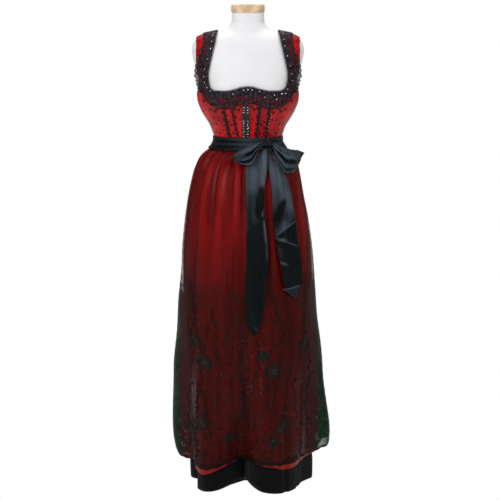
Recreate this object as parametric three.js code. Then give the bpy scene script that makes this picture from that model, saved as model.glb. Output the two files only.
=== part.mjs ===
import * as THREE from 'three';

// A dirndl worn on a limbless dress form.  Millimetres, +Z up, the front faces -Y, +X is the viewer's right.
// Angles round the body are in degrees: 0 is the front, 90 is +X, 180 is the back.

// ---- driving sizes -------------------------------------------------------------------------------
const FLOOR_TO_NECK_CAP = 1543;
const NECK_TOP = 1516;
const FORM_BOTTOM = 856;
const WAIST_SEAM = 1131;
const BAND_BOTTOM = 1093;
const SKIRT_TOP = 1090;
const SKIRT_HEM = 55;
const UNDERSKIRT_TOP = 1086;
const UNDERSKIRT_HEM = 8;
const SEAM_GAP = 0.3;
const BODICE_WALL = 1.6;
const BODICE_OFFSET = 4.4;
const LACE_OFFSET = 7.6;
const LACE_WALL = 1.2;
const TRIM_OFFSET = 8;
const TRIM_WALL = 2.2;
const PLACKET_OFFSET = 7.2;
const PLACKET_WALL = 1.4;
const HOOK_OFFSET = 9;
const HOOK_WALL = 1.4;
const SKIRT_WALL = 1.6;
const UNDERSKIRT_WALL = 1.4;
const APRON_WALL = 1.1;
const APRON_CLEARANCE = 3.2;
const GATHER_COUNT = 28;
const PANEL_COLUMNS = 28;
const UNDERSKIRT_COLUMNS = 12;
const APRON_HALF_COLUMNS = 27;
const RIBBON_WALL = 1.3;
const CAP_RADIUS = 52.5;
const POLE_RADIUS = 15;
const BASE_REACH = 190;
const BASE_LEG_WIDTH = 42;
const BASE_LEG_HEIGHT = 20;
const BASE_HUB_RADIUS = 45;
const BASE_HUB_HEIGHT = 34;

// ---- tables --------------------------------------------------------------------------------------
// The form: half width, depth to the front and depth to the back at each height.
const FORM_SECTIONS = [
  { z: 860, side: 62, front: 48, back: 58 },
  { z: 872, side: 112, front: 78, back: 90 },
  { z: 900, side: 138, front: 96, back: 112 },
  { z: 950, side: 145, front: 104, back: 122 },
  { z: 1000, side: 139, front: 101, back: 116 },
  { z: 1050, side: 124, front: 92, back: 98 },
  { z: 1091, side: 108, front: 82, back: 78 },
  { z: 1115, side: 104, front: 80, back: 73 },
  { z: 1129, side: 104, front: 81, back: 72 },
  { z: 1142, side: 107.5, front: 84, back: 73 },
  { z: 1167, side: 117, front: 90, back: 77 },
  { z: 1193, side: 133.5, front: 97, back: 83 },
  { z: 1218, side: 147, front: 103, back: 88 },
  { z: 1243, side: 154, front: 107, back: 92 },
  { z: 1262, side: 151.5, front: 108, back: 94 },
  { z: 1280, side: 148, front: 107, back: 95 },
  { z: 1300, side: 149, front: 105, back: 95.5 },
  { z: 1331, side: 160, front: 99, back: 98 },
  { z: 1357, side: 169, front: 92, back: 97 },
  { z: 1382, side: 175, front: 84, back: 95 },
  { z: 1400, side: 177, front: 78, back: 93 },
  { z: 1425, side: 171, front: 68, back: 89 },
  { z: 1437, side: 161, front: 62, back: 86 },
  { z: 1446, side: 143, front: 56, back: 82 },
  { z: 1452, side: 117, front: 52, back: 77 },
  { z: 1456.5, side: 95, front: 49, back: 73 },
  { z: 1462, side: 79, front: 47, back: 69 },
  { z: 1475, side: 59, front: 44, back: 62 },
  { z: 1488, side: 52, front: 42, back: 58 },
  { z: 1516, side: 50.5, front: 41, back: 57 },
];
const FORM_SQUARENESS = 2.3;
const BUST = { angle: 38, width: 21, z: 1258, height: 40, depth: 13 };

// The red skirt without its folds: left, right, front and back depth at each height.
const SKIRT_SECTIONS = [
  { z: 8, left: 198, right: 214, front: 213, back: 238 },
  { z: 55, left: 200, right: 215, front: 212, back: 236 },
  { z: 207, left: 205, right: 218, front: 210, back: 232 },
  { z: 423, left: 208, right: 216, front: 205, back: 228 },
  { z: 636, left: 208, right: 210, front: 196, back: 221 },
  { z: 741, left: 208, right: 205, front: 190, back: 214 },
  { z: 872, left: 198, right: 190, front: 180, back: 200 },
  { z: 949, left: 187, right: 175, front: 169, back: 187 },
  { z: 1001, left: 176, right: 166, front: 157, back: 173 },
  { z: 1027, left: 169, right: 161, front: 147, back: 160 },
  { z: 1052, left: 157, right: 154, front: 134, back: 143 },
  { z: 1065, left: 149, right: 147, front: 125, back: 129 },
  { z: 1078, left: 138, right: 137, front: 113, back: 113 },
  { z: 1090, left: 122, right: 120, front: 98, back: 95 },
];
// The waist gathers: how far they stand out at each height.
const GATHERS = [
  { z: 8, depth: 0 },
  { z: 420, depth: 0.4 },
  { z: 640, depth: 1.6 },
  { z: 850, depth: 3.4 },
  { z: 1000, depth: 4.6 },
  { z: 1060, depth: 4.4 },
  { z: 1080, depth: 3.0 },
  { z: 1090, depth: 1.6 },
];
// The large folds that open towards the hem: middle, half width, reach at the hem (+ out) and start height.
const LARGE_FOLDS = [
  { angle: -38, width: 15, reach: 28, start: 620 },
  { angle: -8, width: 13, reach: -84, start: 560 },
  { angle: 29, width: 17, reach: 16, start: 620 },
  { angle: -66, width: 10, reach: -30, start: 520 },
  { angle: 64, width: 11, reach: -14, start: 640 },
  { angle: 90, width: 12, reach: 6, start: 700 },
  { angle: 113, width: 12, reach: -24, start: 760 },
  { angle: 138, width: 13, reach: 14, start: 700 },
  { angle: 160, width: 11, reach: -26, start: 820 },
  { angle: 183, width: 12, reach: 13, start: 700 },
  { angle: 207, width: 12, reach: -28, start: 780 },
  { angle: 231, width: 12, reach: 13, start: 680 },
  { angle: 255, width: 10, reach: -20, start: 740 },
];
// How far each lower corner of the apron stands off the skirt.
const APRON_FLARE = [
  { z: 90, left: 33, right: 40 },
  { z: 152, left: 39, right: 43 },
  { z: 261, left: 39, right: 35 },
  { z: 369, left: 33, right: 22 },
  { z: 476, left: 23, right: 16 },
  { z: 583, left: 17, right: 7 },
  { z: 741, left: 3, right: 3 },
  { z: 872, left: 2, right: 1 },
  { z: 1090, left: 0, right: 0 },
];
const APRON_HEM = [
  { angle: -88, z: 118 },
  { angle: -74, z: 86 },
  { angle: -56, z: 92 },
  { angle: -38, z: 86 },
  { angle: -24, z: 97 },
  { angle: -8, z: 114 },
  { angle: 12, z: 108 },
  { angle: 35, z: 104 },
  { angle: 62, z: 113 },
  { angle: 88, z: 126 },
];
// How far the satin skirt's hem hangs above its lowest line, all round.
const SKIRT_HEM_RISE = [
  { angle: -180, rise: 22 },
  { angle: -135, rise: 30 },
  { angle: -90, rise: 40 },
  { angle: -60, rise: 36 },
  { angle: -38, rise: 10 },
  { angle: -24, rise: 24 },
  { angle: -8, rise: 30 },
  { angle: 8, rise: 42 },
  { angle: 20, rise: 40 },
  { angle: 34, rise: 30 },
  { angle: 55, rise: 38 },
  { angle: 80, rise: 42 },
  { angle: 120, rise: 26 },
  { angle: 180, rise: 22 },
];
const BAND_SECTIONS = [
  { z: 1093, left: 128, right: 126, front: 104, back: 101, squareness: 2.08 },
  { z: 1105, left: 118, right: 117, front: 95, back: 90, squareness: 2.2 },
  { z: 1116, left: 113, right: 112.5, front: 90, back: 83.5, squareness: 2.3 },
  { z: 1130.5, left: 112, right: 112, front: 90, back: 82.5, squareness: 2.3 },
];
// Rows of the side front panel with its strap: the seam or neckline edge, then the side or armhole edge.
// "over" is the shoulder line, where the x of a point is not needed.
const SIDE_FRONT_ROWS = [
  { innerX: 54, innerZ: 1112, outerX: 'over', outerZ: 1112 },
  { innerX: 56, innerZ: 1131, outerX: 'over', outerZ: 1131 },
  { innerX: 61, innerZ: 1152, outerX: 'over', outerZ: 1152 },
  { innerX: 66, innerZ: 1178, outerX: 'over', outerZ: 1178 },
  { innerX: 71, innerZ: 1203, outerX: 'over', outerZ: 1203 },
  { innerX: 75, innerZ: 1224, outerX: 'over', outerZ: 1222 },
  { innerX: 79, innerZ: 1244, outerX: 'over', outerZ: 1237 },
  { innerX: 83, innerZ: 1260, outerX: 'over', outerZ: 1250 },
  { innerX: 87, innerZ: 1272.5, outerX: 'over', outerZ: 1261 },
  { innerX: 100, innerZ: 1273, outerX: 'over', outerZ: 1270 },
  { innerX: 115, innerZ: 1285, outerX: 'over', outerZ: 1278 },
  { innerX: 121.5, innerZ: 1305, outerX: 149, outerZ: 1296 },
  { innerX: 122.5, innerZ: 1328, outerX: 154, outerZ: 1320 },
  { innerX: 118, innerZ: 1353, outerX: 158, outerZ: 1350 },
  { innerX: 112, innerZ: 1381, outerX: 160, outerZ: 1382 },
  { innerX: 106, innerZ: 1408, outerX: 160, outerZ: 1406 },
  { innerX: 101, innerZ: 1430, outerX: 160, outerZ: 1424 },
  { innerX: 97, innerZ: 1448, outerX: 160, outerZ: 1434 },
  { innerX: 96.5, innerZ: 1453, outerX: 160.5, outerZ: 1436.5 },
  { innerX: 'over', innerZ: 1456, outerX: 'over', outerZ: 1438 },
];
const BACK_ROWS = [
  { innerX: 'over', innerZ: 1456, outerX: 'over', outerZ: 1438 },
  { innerX: 97, innerZ: 1453, outerX: 160.5, outerZ: 1436 },
  { innerX: 98, innerZ: 1447, outerX: 159, outerZ: 1431 },
  { innerX: 95, innerZ: 1433, outerX: 154, outerZ: 1412 },
  { innerX: 90, innerZ: 1420, outerX: 148, outerZ: 1385 },
  { innerX: 80, innerZ: 1410, outerX: 143, outerZ: 1352 },
  { innerX: 58, innerZ: 1403, outerX: 142, outerZ: 1320 },
  { innerX: 30, innerZ: 1400, outerX: 146, outerZ: 1294 },
  { innerX: 0.2, innerZ: 1399, outerX: 'over', outerZ: 1278 },
  { innerX: 0.2, innerZ: 1364, outerX: 'over', outerZ: 1261 },
  { innerX: 0.2, innerZ: 1328, outerX: 'over', outerZ: 1245 },
  { innerX: 0.2, innerZ: 1288, outerX: 'over', outerZ: 1226 },
  { innerX: 0.2, innerZ: 1246, outerX: 'over', outerZ: 1203 },
  { innerX: 0.2, innerZ: 1204, outerX: 'over', outerZ: 1178 },
  { innerX: 0.2, innerZ: 1164, outerX: 'over', outerZ: 1152 },
  { innerX: 0.2, innerZ: 1132, outerX: 'over', outerZ: 1131 },
  { innerX: 0.2, innerZ: 1112, outerX: 'over', outerZ: 1112 },
];
// The neckline of the front, from the middle outwards.
const FRONT_NECKLINE = [
  { x: 0, z: 1287 },
  { x: 18, z: 1285 },
  { x: 42, z: 1278 },
  { x: 70, z: 1273 },
  { x: 87, z: 1272.5 },
];
// The lace collar from the middle front, over the shoulder, to the middle back.
const COLLAR_FRONT_ROWS = [
  { innerX: 0, innerZ: 1288, outerX: 0, outerZ: 1239 },
  { innerX: 18, innerZ: 1286, outerX: 16, outerZ: 1238 },
  { innerX: 42, innerZ: 1279, outerX: 38, outerZ: 1231 },
  { innerX: 70, innerZ: 1274, outerX: 66, outerZ: 1223 },
  { innerX: 97, innerZ: 1274, outerX: 95, outerZ: 1226 },
  { innerX: 115, innerZ: 1286, outerX: 120, outerZ: 1241 },
  { innerX: 121.5, innerZ: 1309, outerX: 136, outerZ: 1261 },
];
const COLLAR_STRAP_ROWS = [
  { innerX: 121.6, innerZ: 1310, outerX: 136.2, outerZ: 1262 },
  { innerX: 122.5, innerZ: 1328, outerX: 147, outerZ: 1300 },
  { innerX: 118, innerZ: 1353, outerX: 151, outerZ: 1346 },
  { innerX: 112, innerZ: 1381, outerX: 145, outerZ: 1381 },
  { innerX: 106, innerZ: 1408, outerX: 140, outerZ: 1408 },
  { innerX: 101, innerZ: 1430, outerX: 139, outerZ: 1427 },
  { innerX: 97, innerZ: 1448, outerX: 138, outerZ: 1440 },
  { innerX: 96.5, innerZ: 1453, outerX: 138.3, outerZ: 1445.5 },
  { innerX: 'over', innerZ: 1456, outerX: 'over', outerZ: 1448 },
];
const COLLAR_BACK_ROWS = [
  { innerX: 'over', innerZ: 1456, outerX: 'over', outerZ: 1448 },
  { innerX: 97, innerZ: 1453, outerX: 138.3, outerZ: 1445 },
  { innerX: 98, innerZ: 1447, outerX: 138, outerZ: 1439 },
  { innerX: 95, innerZ: 1433, outerX: 132, outerZ: 1416 },
  { innerX: 90, innerZ: 1420, outerX: 124, outerZ: 1392 },
  { innerX: 80, innerZ: 1410, outerX: 108, outerZ: 1370 },
  { innerX: 58, innerZ: 1403, outerX: 74, outerZ: 1358 },
  { innerX: 30, innerZ: 1400, outerX: 36, outerZ: 1354 },
  { innerX: 0, innerZ: 1399, outerX: 0, outerZ: 1353 },
];
const TRIMS = [
  { name: 'trim_outer_left', topX: -74, topZ: 1221, footX: -56, footZ: 1134, half: 4 },
  { name: 'trim_inner_left', topX: -50, topZ: 1226, footX: -31, footZ: 1134, half: 3.2 },
  { name: 'trim_inner_right', topX: 37, topZ: 1230, footX: 25, footZ: 1134, half: 4.2 },
  { name: 'trim_outer_right', topX: 67, topZ: 1221, footX: 53, footZ: 1134, half: 4 },
];
const PLACKET = { left: -18, right: 4, foot: 1133, top: 1237 };
const HOOK_COLUMNS = [-13.2, -0.8];
const HOOK_HEIGHTS = [1228, 1220, 1212, 1186, 1178, 1170, 1161, 1152, 1144, 1136];

const CLOTH_RED = { color: 0xa8242c, roughness: 0.5, metalness: 0 };
const CLOTH_BLACK = { color: 0x15171a, roughness: 0.7, metalness: 0 };
const SATIN_SLATE = { color: 0x2c303a, roughness: 0.35, metalness: 0 };
const ORGANZA = { color: 0x3a1416, roughness: 0.6, metalness: 0 };
const LACE = { color: 0x101416, roughness: 0.8, metalness: 0 };
const SILVER = { color: 0xc9ccd0, roughness: 0.3, metalness: 0.9 };
const FORM_WHITE = { color: 0xebeaec, roughness: 0.6, metalness: 0 };
const WOOD = { color: 0xdebe96, roughness: 0.5, metalness: 0 };
const STEEL = { color: 0x9fa2a6, roughness: 0.4, metalness: 0.8 };

// ---- small helpers -------------------------------------------------------------------------------
const group = new THREE.Group();
group.name = 'dirndl';

const radians = (degrees) => (degrees * Math.PI) / 180;
const clamp = (value, low, high) => Math.min(high, Math.max(low, value));
const smooth = (value) => {
  const t = clamp(value, 0, 1);
  return t * t * (3 - 2 * t);
};

// Monotone cubic interpolation of one column of a table against another.
function curve(table, key, column) {
  const xs = table.map((row) => row[key]);
  const ys = table.map((row) => row[column]);
  const count = xs.length;
  const steps = xs.slice(1).map((x, i) => x - xs[i]);
  const slopes = steps.map((step, i) => (ys[i + 1] - ys[i]) / step);
  const tangents = new Array(count).fill(0);
  for (let i = 1; i < count - 1; i += 1) {
    if (slopes[i - 1] * slopes[i] > 0) {
      const before = 2 * steps[i] + steps[i - 1];
      const after = steps[i] + 2 * steps[i - 1];
      tangents[i] = (before + after) / (before / slopes[i - 1] + after / slopes[i]);
    }
  }
  tangents[0] = slopes[0];
  tangents[count - 1] = slopes[count - 2];
  return (value) => {
    const x = clamp(value, xs[0], xs[count - 1]);
    let i = 0;
    while (i < count - 2 && x > xs[i + 1]) {
      i += 1;
    }
    const t = (x - xs[i]) / steps[i];
    const t2 = t * t;
    const t3 = t2 * t;
    return ys[i] * (2 * t3 - 3 * t2 + 1) + tangents[i] * steps[i] * (t3 - 2 * t2 + t)
      + ys[i + 1] * (3 * t2 - 2 * t3) + tangents[i + 1] * steps[i] * (t3 - t2);
  };
}

// The shortest signed difference between two angles.
const turn = (a, b) => ((((a - b) % 360) + 540) % 360) - 180;

// ---- the form's surface --------------------------------------------------------------------------
const formSide = curve(FORM_SECTIONS, 'z', 'side');
const formFront = curve(FORM_SECTIONS, 'z', 'front');
const formBack = curve(FORM_SECTIONS, 'z', 'back');

function formRadius(angle, z) {
  const across = Math.abs(Math.sin(radians(angle))) / formSide(z);
  const facesFront = Math.abs(turn(angle, 0)) < 90;
  const along = Math.abs(Math.cos(radians(angle))) / (facesFront ? formFront(z) : formBack(z));
  const base = (across ** FORM_SQUARENESS + along ** FORM_SQUARENESS) ** (-1 / FORM_SQUARENESS);
  const lift = Math.exp(-(((z - BUST.z) / BUST.height) ** 2));
  const left = Math.exp(-((turn(angle, -BUST.angle) / BUST.width) ** 2));
  const right = Math.exp(-((turn(angle, BUST.angle) / BUST.width) ** 2));
  return base + BUST.depth * lift * (left + right);
}

function formPoint(angle, z) {
  const radius = formRadius(angle, z);
  return new THREE.Vector3(radius * Math.sin(radians(angle)), -radius * Math.cos(radians(angle)), z);
}

// A point moved out from the form's surface along its normal.
function bodyPoint(angle, z, offset) {
  const low = formPoint(angle, z - 1.5);
  const high = formPoint(angle, z + 1.5);
  const before = formPoint(angle - 1, z);
  const after = formPoint(angle + 1, z);
  const normal = after.sub(before).cross(high.sub(low)).normalize();
  return formPoint(angle, z).addScaledVector(normal, offset);
}

// The angle whose surface point has the given x, on the front or on the back.
function bodyAngle(x, z, back) {
  if (x === 'over') {
    return 90;
  }
  let low = 0;
  let high = 90;
  for (let step = 0; step < 40; step += 1) {
    const middle = (low + high) / 2;
    const angle = back ? 180 - middle : middle;
    if (formRadius(angle, z) * Math.sin(radians(middle)) < Math.abs(x)) {
      low = middle;
    } else {
      high = middle;
    }
  }
  const found = back ? 180 - low : low;
  return x < 0 ? -found : found;
}

// ---- the skirt's surfaces ------------------------------------------------------------------------
const skirtLeft = curve(SKIRT_SECTIONS, 'z', 'left');
const skirtRight = curve(SKIRT_SECTIONS, 'z', 'right');
const skirtFront = curve(SKIRT_SECTIONS, 'z', 'front');
const skirtBack = curve(SKIRT_SECTIONS, 'z', 'back');
const gatherDepth = curve(GATHERS, 'z', 'depth');
const flareLeft = curve(APRON_FLARE, 'z', 'left');
const flareRight = curve(APRON_FLARE, 'z', 'right');
const apronHem = curve(APRON_HEM, 'angle', 'z');
const skirtHemRise = curve(SKIRT_HEM_RISE, 'angle', 'rise');

function ovalRadius(angle, left, right, front, back, squareness = 2) {
  const side = turn(angle, 0) < 0 ? left : right;
  const depth = Math.abs(turn(angle, 0)) < 90 ? front : back;
  const across = Math.abs(Math.sin(radians(angle))) / side;
  const along = Math.abs(Math.cos(radians(angle))) / depth;
  return (across ** squareness + along ** squareness) ** (-1 / squareness);
}

function foldReach(angle, z, valleyShare) {
  let reach = 0;
  for (const fold of LARGE_FOLDS) {
    const grown = clamp((fold.start - z) / (fold.start - SKIRT_HEM), 0, 1.04);
    const share = fold.reach < 0 ? valleyShare : 1;
    reach += fold.reach * share * grown ** 1.5 * Math.exp(-((turn(angle, fold.angle) / fold.width) ** 2));
  }
  return reach;
}

function gatherWave(angle) {
  const drift = 24 * Math.sin(radians(3 * angle + 20)) + 15 * Math.sin(radians(7 * angle));
  return Math.cos(radians(GATHER_COUNT * angle + drift)) * (1 + 0.25 * Math.sin(radians(5 * angle + 60)));
}

function skirtRadius(angle, z) {
  const base = ovalRadius(angle, skirtLeft(z), skirtRight(z), skirtFront(z), skirtBack(z));
  return base + foldReach(angle, z, 1) + gatherDepth(z) * gatherWave(angle);
}

function apronRadius(angle, z) {
  const base = ovalRadius(angle, skirtLeft(z), skirtRight(z), skirtFront(z), skirtBack(z));
  const flare = (turn(angle, 0) < 0 ? flareLeft(z) : flareRight(z)) * smooth((Math.abs(angle) - 48) / 40);
  return base + foldReach(angle, z, 0.92) + gatherDepth(z) * gatherWave(angle) + APRON_CLEARANCE + flare;
}

function underskirtRadius(angle, z) {
  const base = ovalRadius(angle, skirtLeft(z), skirtRight(z), skirtFront(z), skirtBack(z));
  const inValley = Math.exp(-((turn(angle, -8) / 22) ** 2)) * smooth((640 - z) / 200);
  const aboveHem = smooth((z - SKIRT_HEM) / 60) * smooth((1075 - z) / 60);
  const clearance = 7 + 1.6 * gatherDepth(z) + 4 * aboveHem + 12 * inValley;
  return base + foldReach(angle, z, 1) - clearance;
}

const onAngle = (angle, radius, z) => new THREE.Vector3(
  radius * Math.sin(radians(angle)),
  -radius * Math.cos(radians(angle)),
  z,
);

// ---- solids --------------------------------------------------------------------------------------
function addPart(name, points, faces, finish) {
  const geometry = new THREE.BufferGeometry();
  geometry.setAttribute('position', new THREE.Float32BufferAttribute(points.flatMap((p) => [p.x, p.y, p.z]), 3));
  let volume = 0;
  for (const [a, b, c] of faces) {
    volume += points[a].dot(points[b].clone().cross(points[c]));
  }
  geometry.setIndex(faces.flatMap(([a, b, c]) => (volume > 0 ? [a, b, c] : [a, c, b])));
  geometry.computeVertexNormals();
  const mesh = new THREE.Mesh(geometry, new THREE.MeshStandardMaterial(finish));
  mesh.name = name;
  group.add(mesh);
}

// A cloth wall from a grid of outer points: the inner points lie one wall behind them.  Its side edges
// are "free", or "seam" where the next panel goes on with the same surface, or it is a closed "ring".
function addCloth(name, pointAt, columns, rows, wall, finish, edges = 'free') {
  const closed = edges === 'ring';
  const across = closed ? columns : columns + 1;
  const outer = [];
  for (let row = 0; row <= rows; row += 1) {
    for (let column = 0; column < across; column += 1) {
      outer.push(pointAt(column / columns, row / rows));
    }
  }
  const at = (row, column) => outer[row * across + (closed ? (column + across) % across : column)];
  const normals = [];
  let outward = 0;
  for (let row = 0; row <= rows; row += 1) {
    for (let column = 0; column < across; column += 1) {
      const beside = (next) => {
        if (closed || (next >= 0 && next <= columns)) {
          return at(row, next);
        }
        return edges === 'seam' ? pointAt(next / columns, row / rows) : at(row, column);
      };
      const before = beside(column - 1);
      const after = beside(column + 1);
      const below = at(Math.max(row - 1, 0), column);
      const above = at(Math.min(row + 1, rows), column);
      const normal = after.clone().sub(before).cross(above.clone().sub(below)).normalize();
      normals.push(normal);
      outward += normal.x * at(row, column).x + normal.y * at(row, column).y;
    }
  }
  const inward = outward > 0 ? -wall : wall;
  const inner = outer.map((point, i) => point.clone().addScaledVector(normals[i], inward));
  const points = outer.concat(inner);
  const shift = outer.length;
  const index = (row, column) => row * across + (closed ? column % across : column);
  const faces = [];
  for (let row = 0; row < rows; row += 1) {
    for (let column = 0; column < columns; column += 1) {
      const a = index(row, column);
      const b = index(row, column + 1);
      const c = index(row + 1, column + 1);
      const d = index(row + 1, column);
      faces.push([a, b, c], [a, c, d]);
      faces.push([a + shift, c + shift, b + shift], [a + shift, d + shift, c + shift]);
    }
  }
  for (let column = 0; column < columns; column += 1) {
    const low = [index(0, column), index(0, column + 1)];
    const high = [index(rows, column), index(rows, column + 1)];
    faces.push([low[0], low[0] + shift, low[1] + shift], [low[0], low[1] + shift, low[1]]);
    faces.push([high[0], high[1] + shift, high[0] + shift], [high[0], high[1], high[1] + shift]);
  }
  if (!closed) {
    for (let row = 0; row < rows; row += 1) {
      const left = [index(row, 0), index(row + 1, 0)];
      const right = [index(row, columns), index(row + 1, columns)];
      faces.push([left[0], left[1] + shift, left[0] + shift], [left[0], left[1], left[1] + shift]);
      faces.push([right[0], right[0] + shift, right[1] + shift], [right[0], right[1] + shift, right[1]]);
    }
  }
  addPart(name, points, faces, finish);
}

// A solid through rings of points, closed by a middle point at each end.
function addRings(name, rings, foot, head, finish) {
  const count = rings[0].length;
  const points = rings.flat().concat([foot, head]);
  const faces = [];
  for (let row = 0; row < rings.length - 1; row += 1) {
    for (let column = 0; column < count; column += 1) {
      const next = (column + 1) % count;
      const a = row * count + column;
      const b = row * count + next;
      faces.push([a, b, b + count], [a, b + count, a + count]);
    }
  }
  const last = (rings.length - 1) * count;
  for (let column = 0; column < count; column += 1) {
    const next = (column + 1) % count;
    faces.push([points.length - 2, next, column]);
    faces.push([points.length - 1, last + column, last + next]);
  }
  addPart(name, points, faces, finish);
}

const circle = (radius, z, count) => Array.from(
  { length: count },
  (_, i) => onAngle((360 * i) / count, radius, z),
);

// ---- the form, its cap, pole and base --------------------------------------------------------------
const FORM_COLUMNS = 28;
const FORM_HEIGHTS = [
  860, 872, 900, 950, 1005, 1055, 1095, 1132, 1165, 1193, 1218, 1243, 1262, 1280, 1303, 1331,
  1357, 1382, 1404, 1425, 1437, 1446, 1452, 1457, 1463, 1476, NECK_TOP,
];
addRings(
  'form_torso',
  FORM_HEIGHTS.map((z) => Array.from(
    { length: FORM_COLUMNS },
    (_, i) => formPoint((360 * i) / FORM_COLUMNS, z),
  )),
  new THREE.Vector3(0, 0, FORM_BOTTOM),
  new THREE.Vector3(0, 8, NECK_TOP),
  FORM_WHITE,
);
const capRing = (radius, z) => circle(radius, z, 24).map((p) => p.add(new THREE.Vector3(0, 8, 0)));
addRings(
  'form_neck_cap',
  [
    capRing(CAP_RADIUS - 1.5, NECK_TOP + SEAM_GAP),
    capRing(CAP_RADIUS, NECK_TOP + 2),
    capRing(CAP_RADIUS, FLOOR_TO_NECK_CAP - 4),
    capRing(CAP_RADIUS - 3, FLOOR_TO_NECK_CAP - 0.6),
  ],
  new THREE.Vector3(0, 8, NECK_TOP + SEAM_GAP),
  new THREE.Vector3(0, 8, FLOOR_TO_NECK_CAP),
  WOOD,
);
addRings(
  'form_pole',
  [circle(POLE_RADIUS, BASE_HUB_HEIGHT + SEAM_GAP, 20), circle(POLE_RADIUS, FORM_BOTTOM - 2, 20)],
  new THREE.Vector3(0, 0, BASE_HUB_HEIGHT + SEAM_GAP),
  new THREE.Vector3(0, 0, FORM_BOTTOM - 2),
  STEEL,
);

// The base is a flat cross: one outline of the hub and four legs, raised in three steps.
function baseOutline() {
  const outline = [];
  const half = BASE_LEG_WIDTH / 2;
  const root = Math.sqrt(BASE_HUB_RADIUS ** 2 - half ** 2);
  for (const middle of [45, 135, 225, 315]) {
    const along = onAngle(middle, 1, 0);
    const across = onAngle(middle + 90, 1, 0);
    const place = (reach, side) => outline.push(
      along.clone().multiplyScalar(reach).addScaledVector(across, side),
    );
    place(root, -half);
    place(BASE_REACH - 8, -half);
    place(BASE_REACH, -half + 8);
    place(BASE_REACH, half - 8);
    place(BASE_REACH - 8, half);
    place(root, half);
  }
  return outline;
}
const atHeight = (outline, scale, z) => outline.map((p) => new THREE.Vector3(p.x * scale, p.y * scale, z));
const legOutline = baseOutline();
const hubOutline = legOutline.map((p) => p.clone().setLength(BASE_HUB_RADIUS - 1));
addRings(
  'form_base',
  [
    atHeight(legOutline, 1, 0),
    atHeight(legOutline, 1, BASE_LEG_HEIGHT - 3),
    atHeight(legOutline, 0.985, BASE_LEG_HEIGHT),
    atHeight(hubOutline, 1, BASE_LEG_HEIGHT + 1),
    atHeight(hubOutline, 0.94, BASE_HUB_HEIGHT),
  ],
  new THREE.Vector3(0, 0, 0),
  new THREE.Vector3(0, 0, BASE_HUB_HEIGHT),
  STEEL,
);

// ---- bodice --------------------------------------------------------------------------------------
// A place on the body between two columns of a row table; "mirror" is -1 for the left side.
function rowPlace(rows, share, across, mirror, back) {
  const position = share * (rows.length - 1);
  const index = Math.min(Math.floor(position), rows.length - 2);
  const mix = position - index;
  const place = (row) => {
    const inner = bodyAngle(row.innerX, row.innerZ, back);
    const outer = bodyAngle(row.outerX, row.outerZ, back);
    return {
      angle: inner + (outer - inner) * across,
      z: row.innerZ + (row.outerZ - row.innerZ) * across,
    };
  };
  const low = place(rows[index]);
  const high = place(rows[index + 1]);
  return {
    angle: mirror * (low.angle + (high.angle - low.angle) * mix),
    z: low.z + (high.z - low.z) * mix,
  };
}

// The bodice stands off the form a little under the arm, where nothing fills the armhole.
const UNDERARM = { z: 1270, height: 24, width: 15, depth: 7 };
function bodiceOffset(angle, z) {
  const beside = Math.exp(-(((Math.abs(angle) - 90) / UNDERARM.width) ** 2));
  const level = Math.exp(-(((z - UNDERARM.z) / UNDERARM.height) ** 2));
  return BODICE_OFFSET + UNDERARM.depth * beside * level;
}

const neckline = curve(FRONT_NECKLINE, 'x', 'z');
const OPENING_X = -5;
const SEAM_STEPS = SIDE_FRONT_ROWS.slice(0, 9);
const seamX = curve(SEAM_STEPS, 'innerZ', 'innerX');
for (const side of [
  { name: 'left', mirror: -1, from: OPENING_X - SEAM_GAP / 2 },
  { name: 'right', mirror: 1, from: OPENING_X + SEAM_GAP / 2 },
]) {
  addCloth(`bodice_front_${side.name}`, (u, v) => {
    const outerEdge = (z) => side.mirror * (seamX(z) - SEAM_GAP);
    const guess = side.from + (outerEdge(1112 + 160 * v) - side.from) * u;
    const top = neckline(Math.abs(guess));
    const z = 1112 + (top - 1112) * v;
    const x = side.from + (outerEdge(z) - side.from) * u;
    return bodyPoint(bodyAngle(x, z, false), z, BODICE_OFFSET);
  }, 6, 9, BODICE_WALL, CLOTH_RED);
  const inset = (u) => 0.004 + 0.992 * u;
  addCloth(`bodice_side_${side.name}`, (u, v) => {
    const place = rowPlace(SIDE_FRONT_ROWS, v * 0.997, inset(u), side.mirror, false);
    return bodyPoint(place.angle, place.z, bodiceOffset(place.angle, place.z));
  }, 6, SIDE_FRONT_ROWS.length - 1, BODICE_WALL, CLOTH_RED);
  addCloth(`bodice_back_${side.name}`, (u, v) => {
    const place = rowPlace(BACK_ROWS, 0.003 + v * 0.997, inset(u), side.mirror, true);
    return bodyPoint(place.angle, place.z, bodiceOffset(place.angle, place.z));
  }, 7, BACK_ROWS.length - 1, BODICE_WALL, CLOTH_RED);
  addCloth(`lace_strap_${side.name}`, (u, v) => {
    const place = rowPlace(COLLAR_STRAP_ROWS, v * 0.996, u, side.mirror, false);
    return bodyPoint(place.angle, place.z, LACE_OFFSET);
  }, 3, 14, LACE_WALL, LACE);
}

// A whole collar piece across the middle, from the left end of its rows to the right end.
function addCollar(name, rows, back, columns) {
  addCloth(name, (u, v) => {
    const side = u * 2 - 1;
    const share = Math.abs(side);
    const place = rowPlace(rows, back ? 1 - share * 0.996 : share, v, side < 0 ? -1 : 1, back);
    return bodyPoint(place.angle, place.z, LACE_OFFSET);
  }, columns, 3, LACE_WALL, LACE);
}
addCollar('lace_front', COLLAR_FRONT_ROWS, false, 24);
addCollar('lace_back', COLLAR_BACK_ROWS, true, 24);

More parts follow.
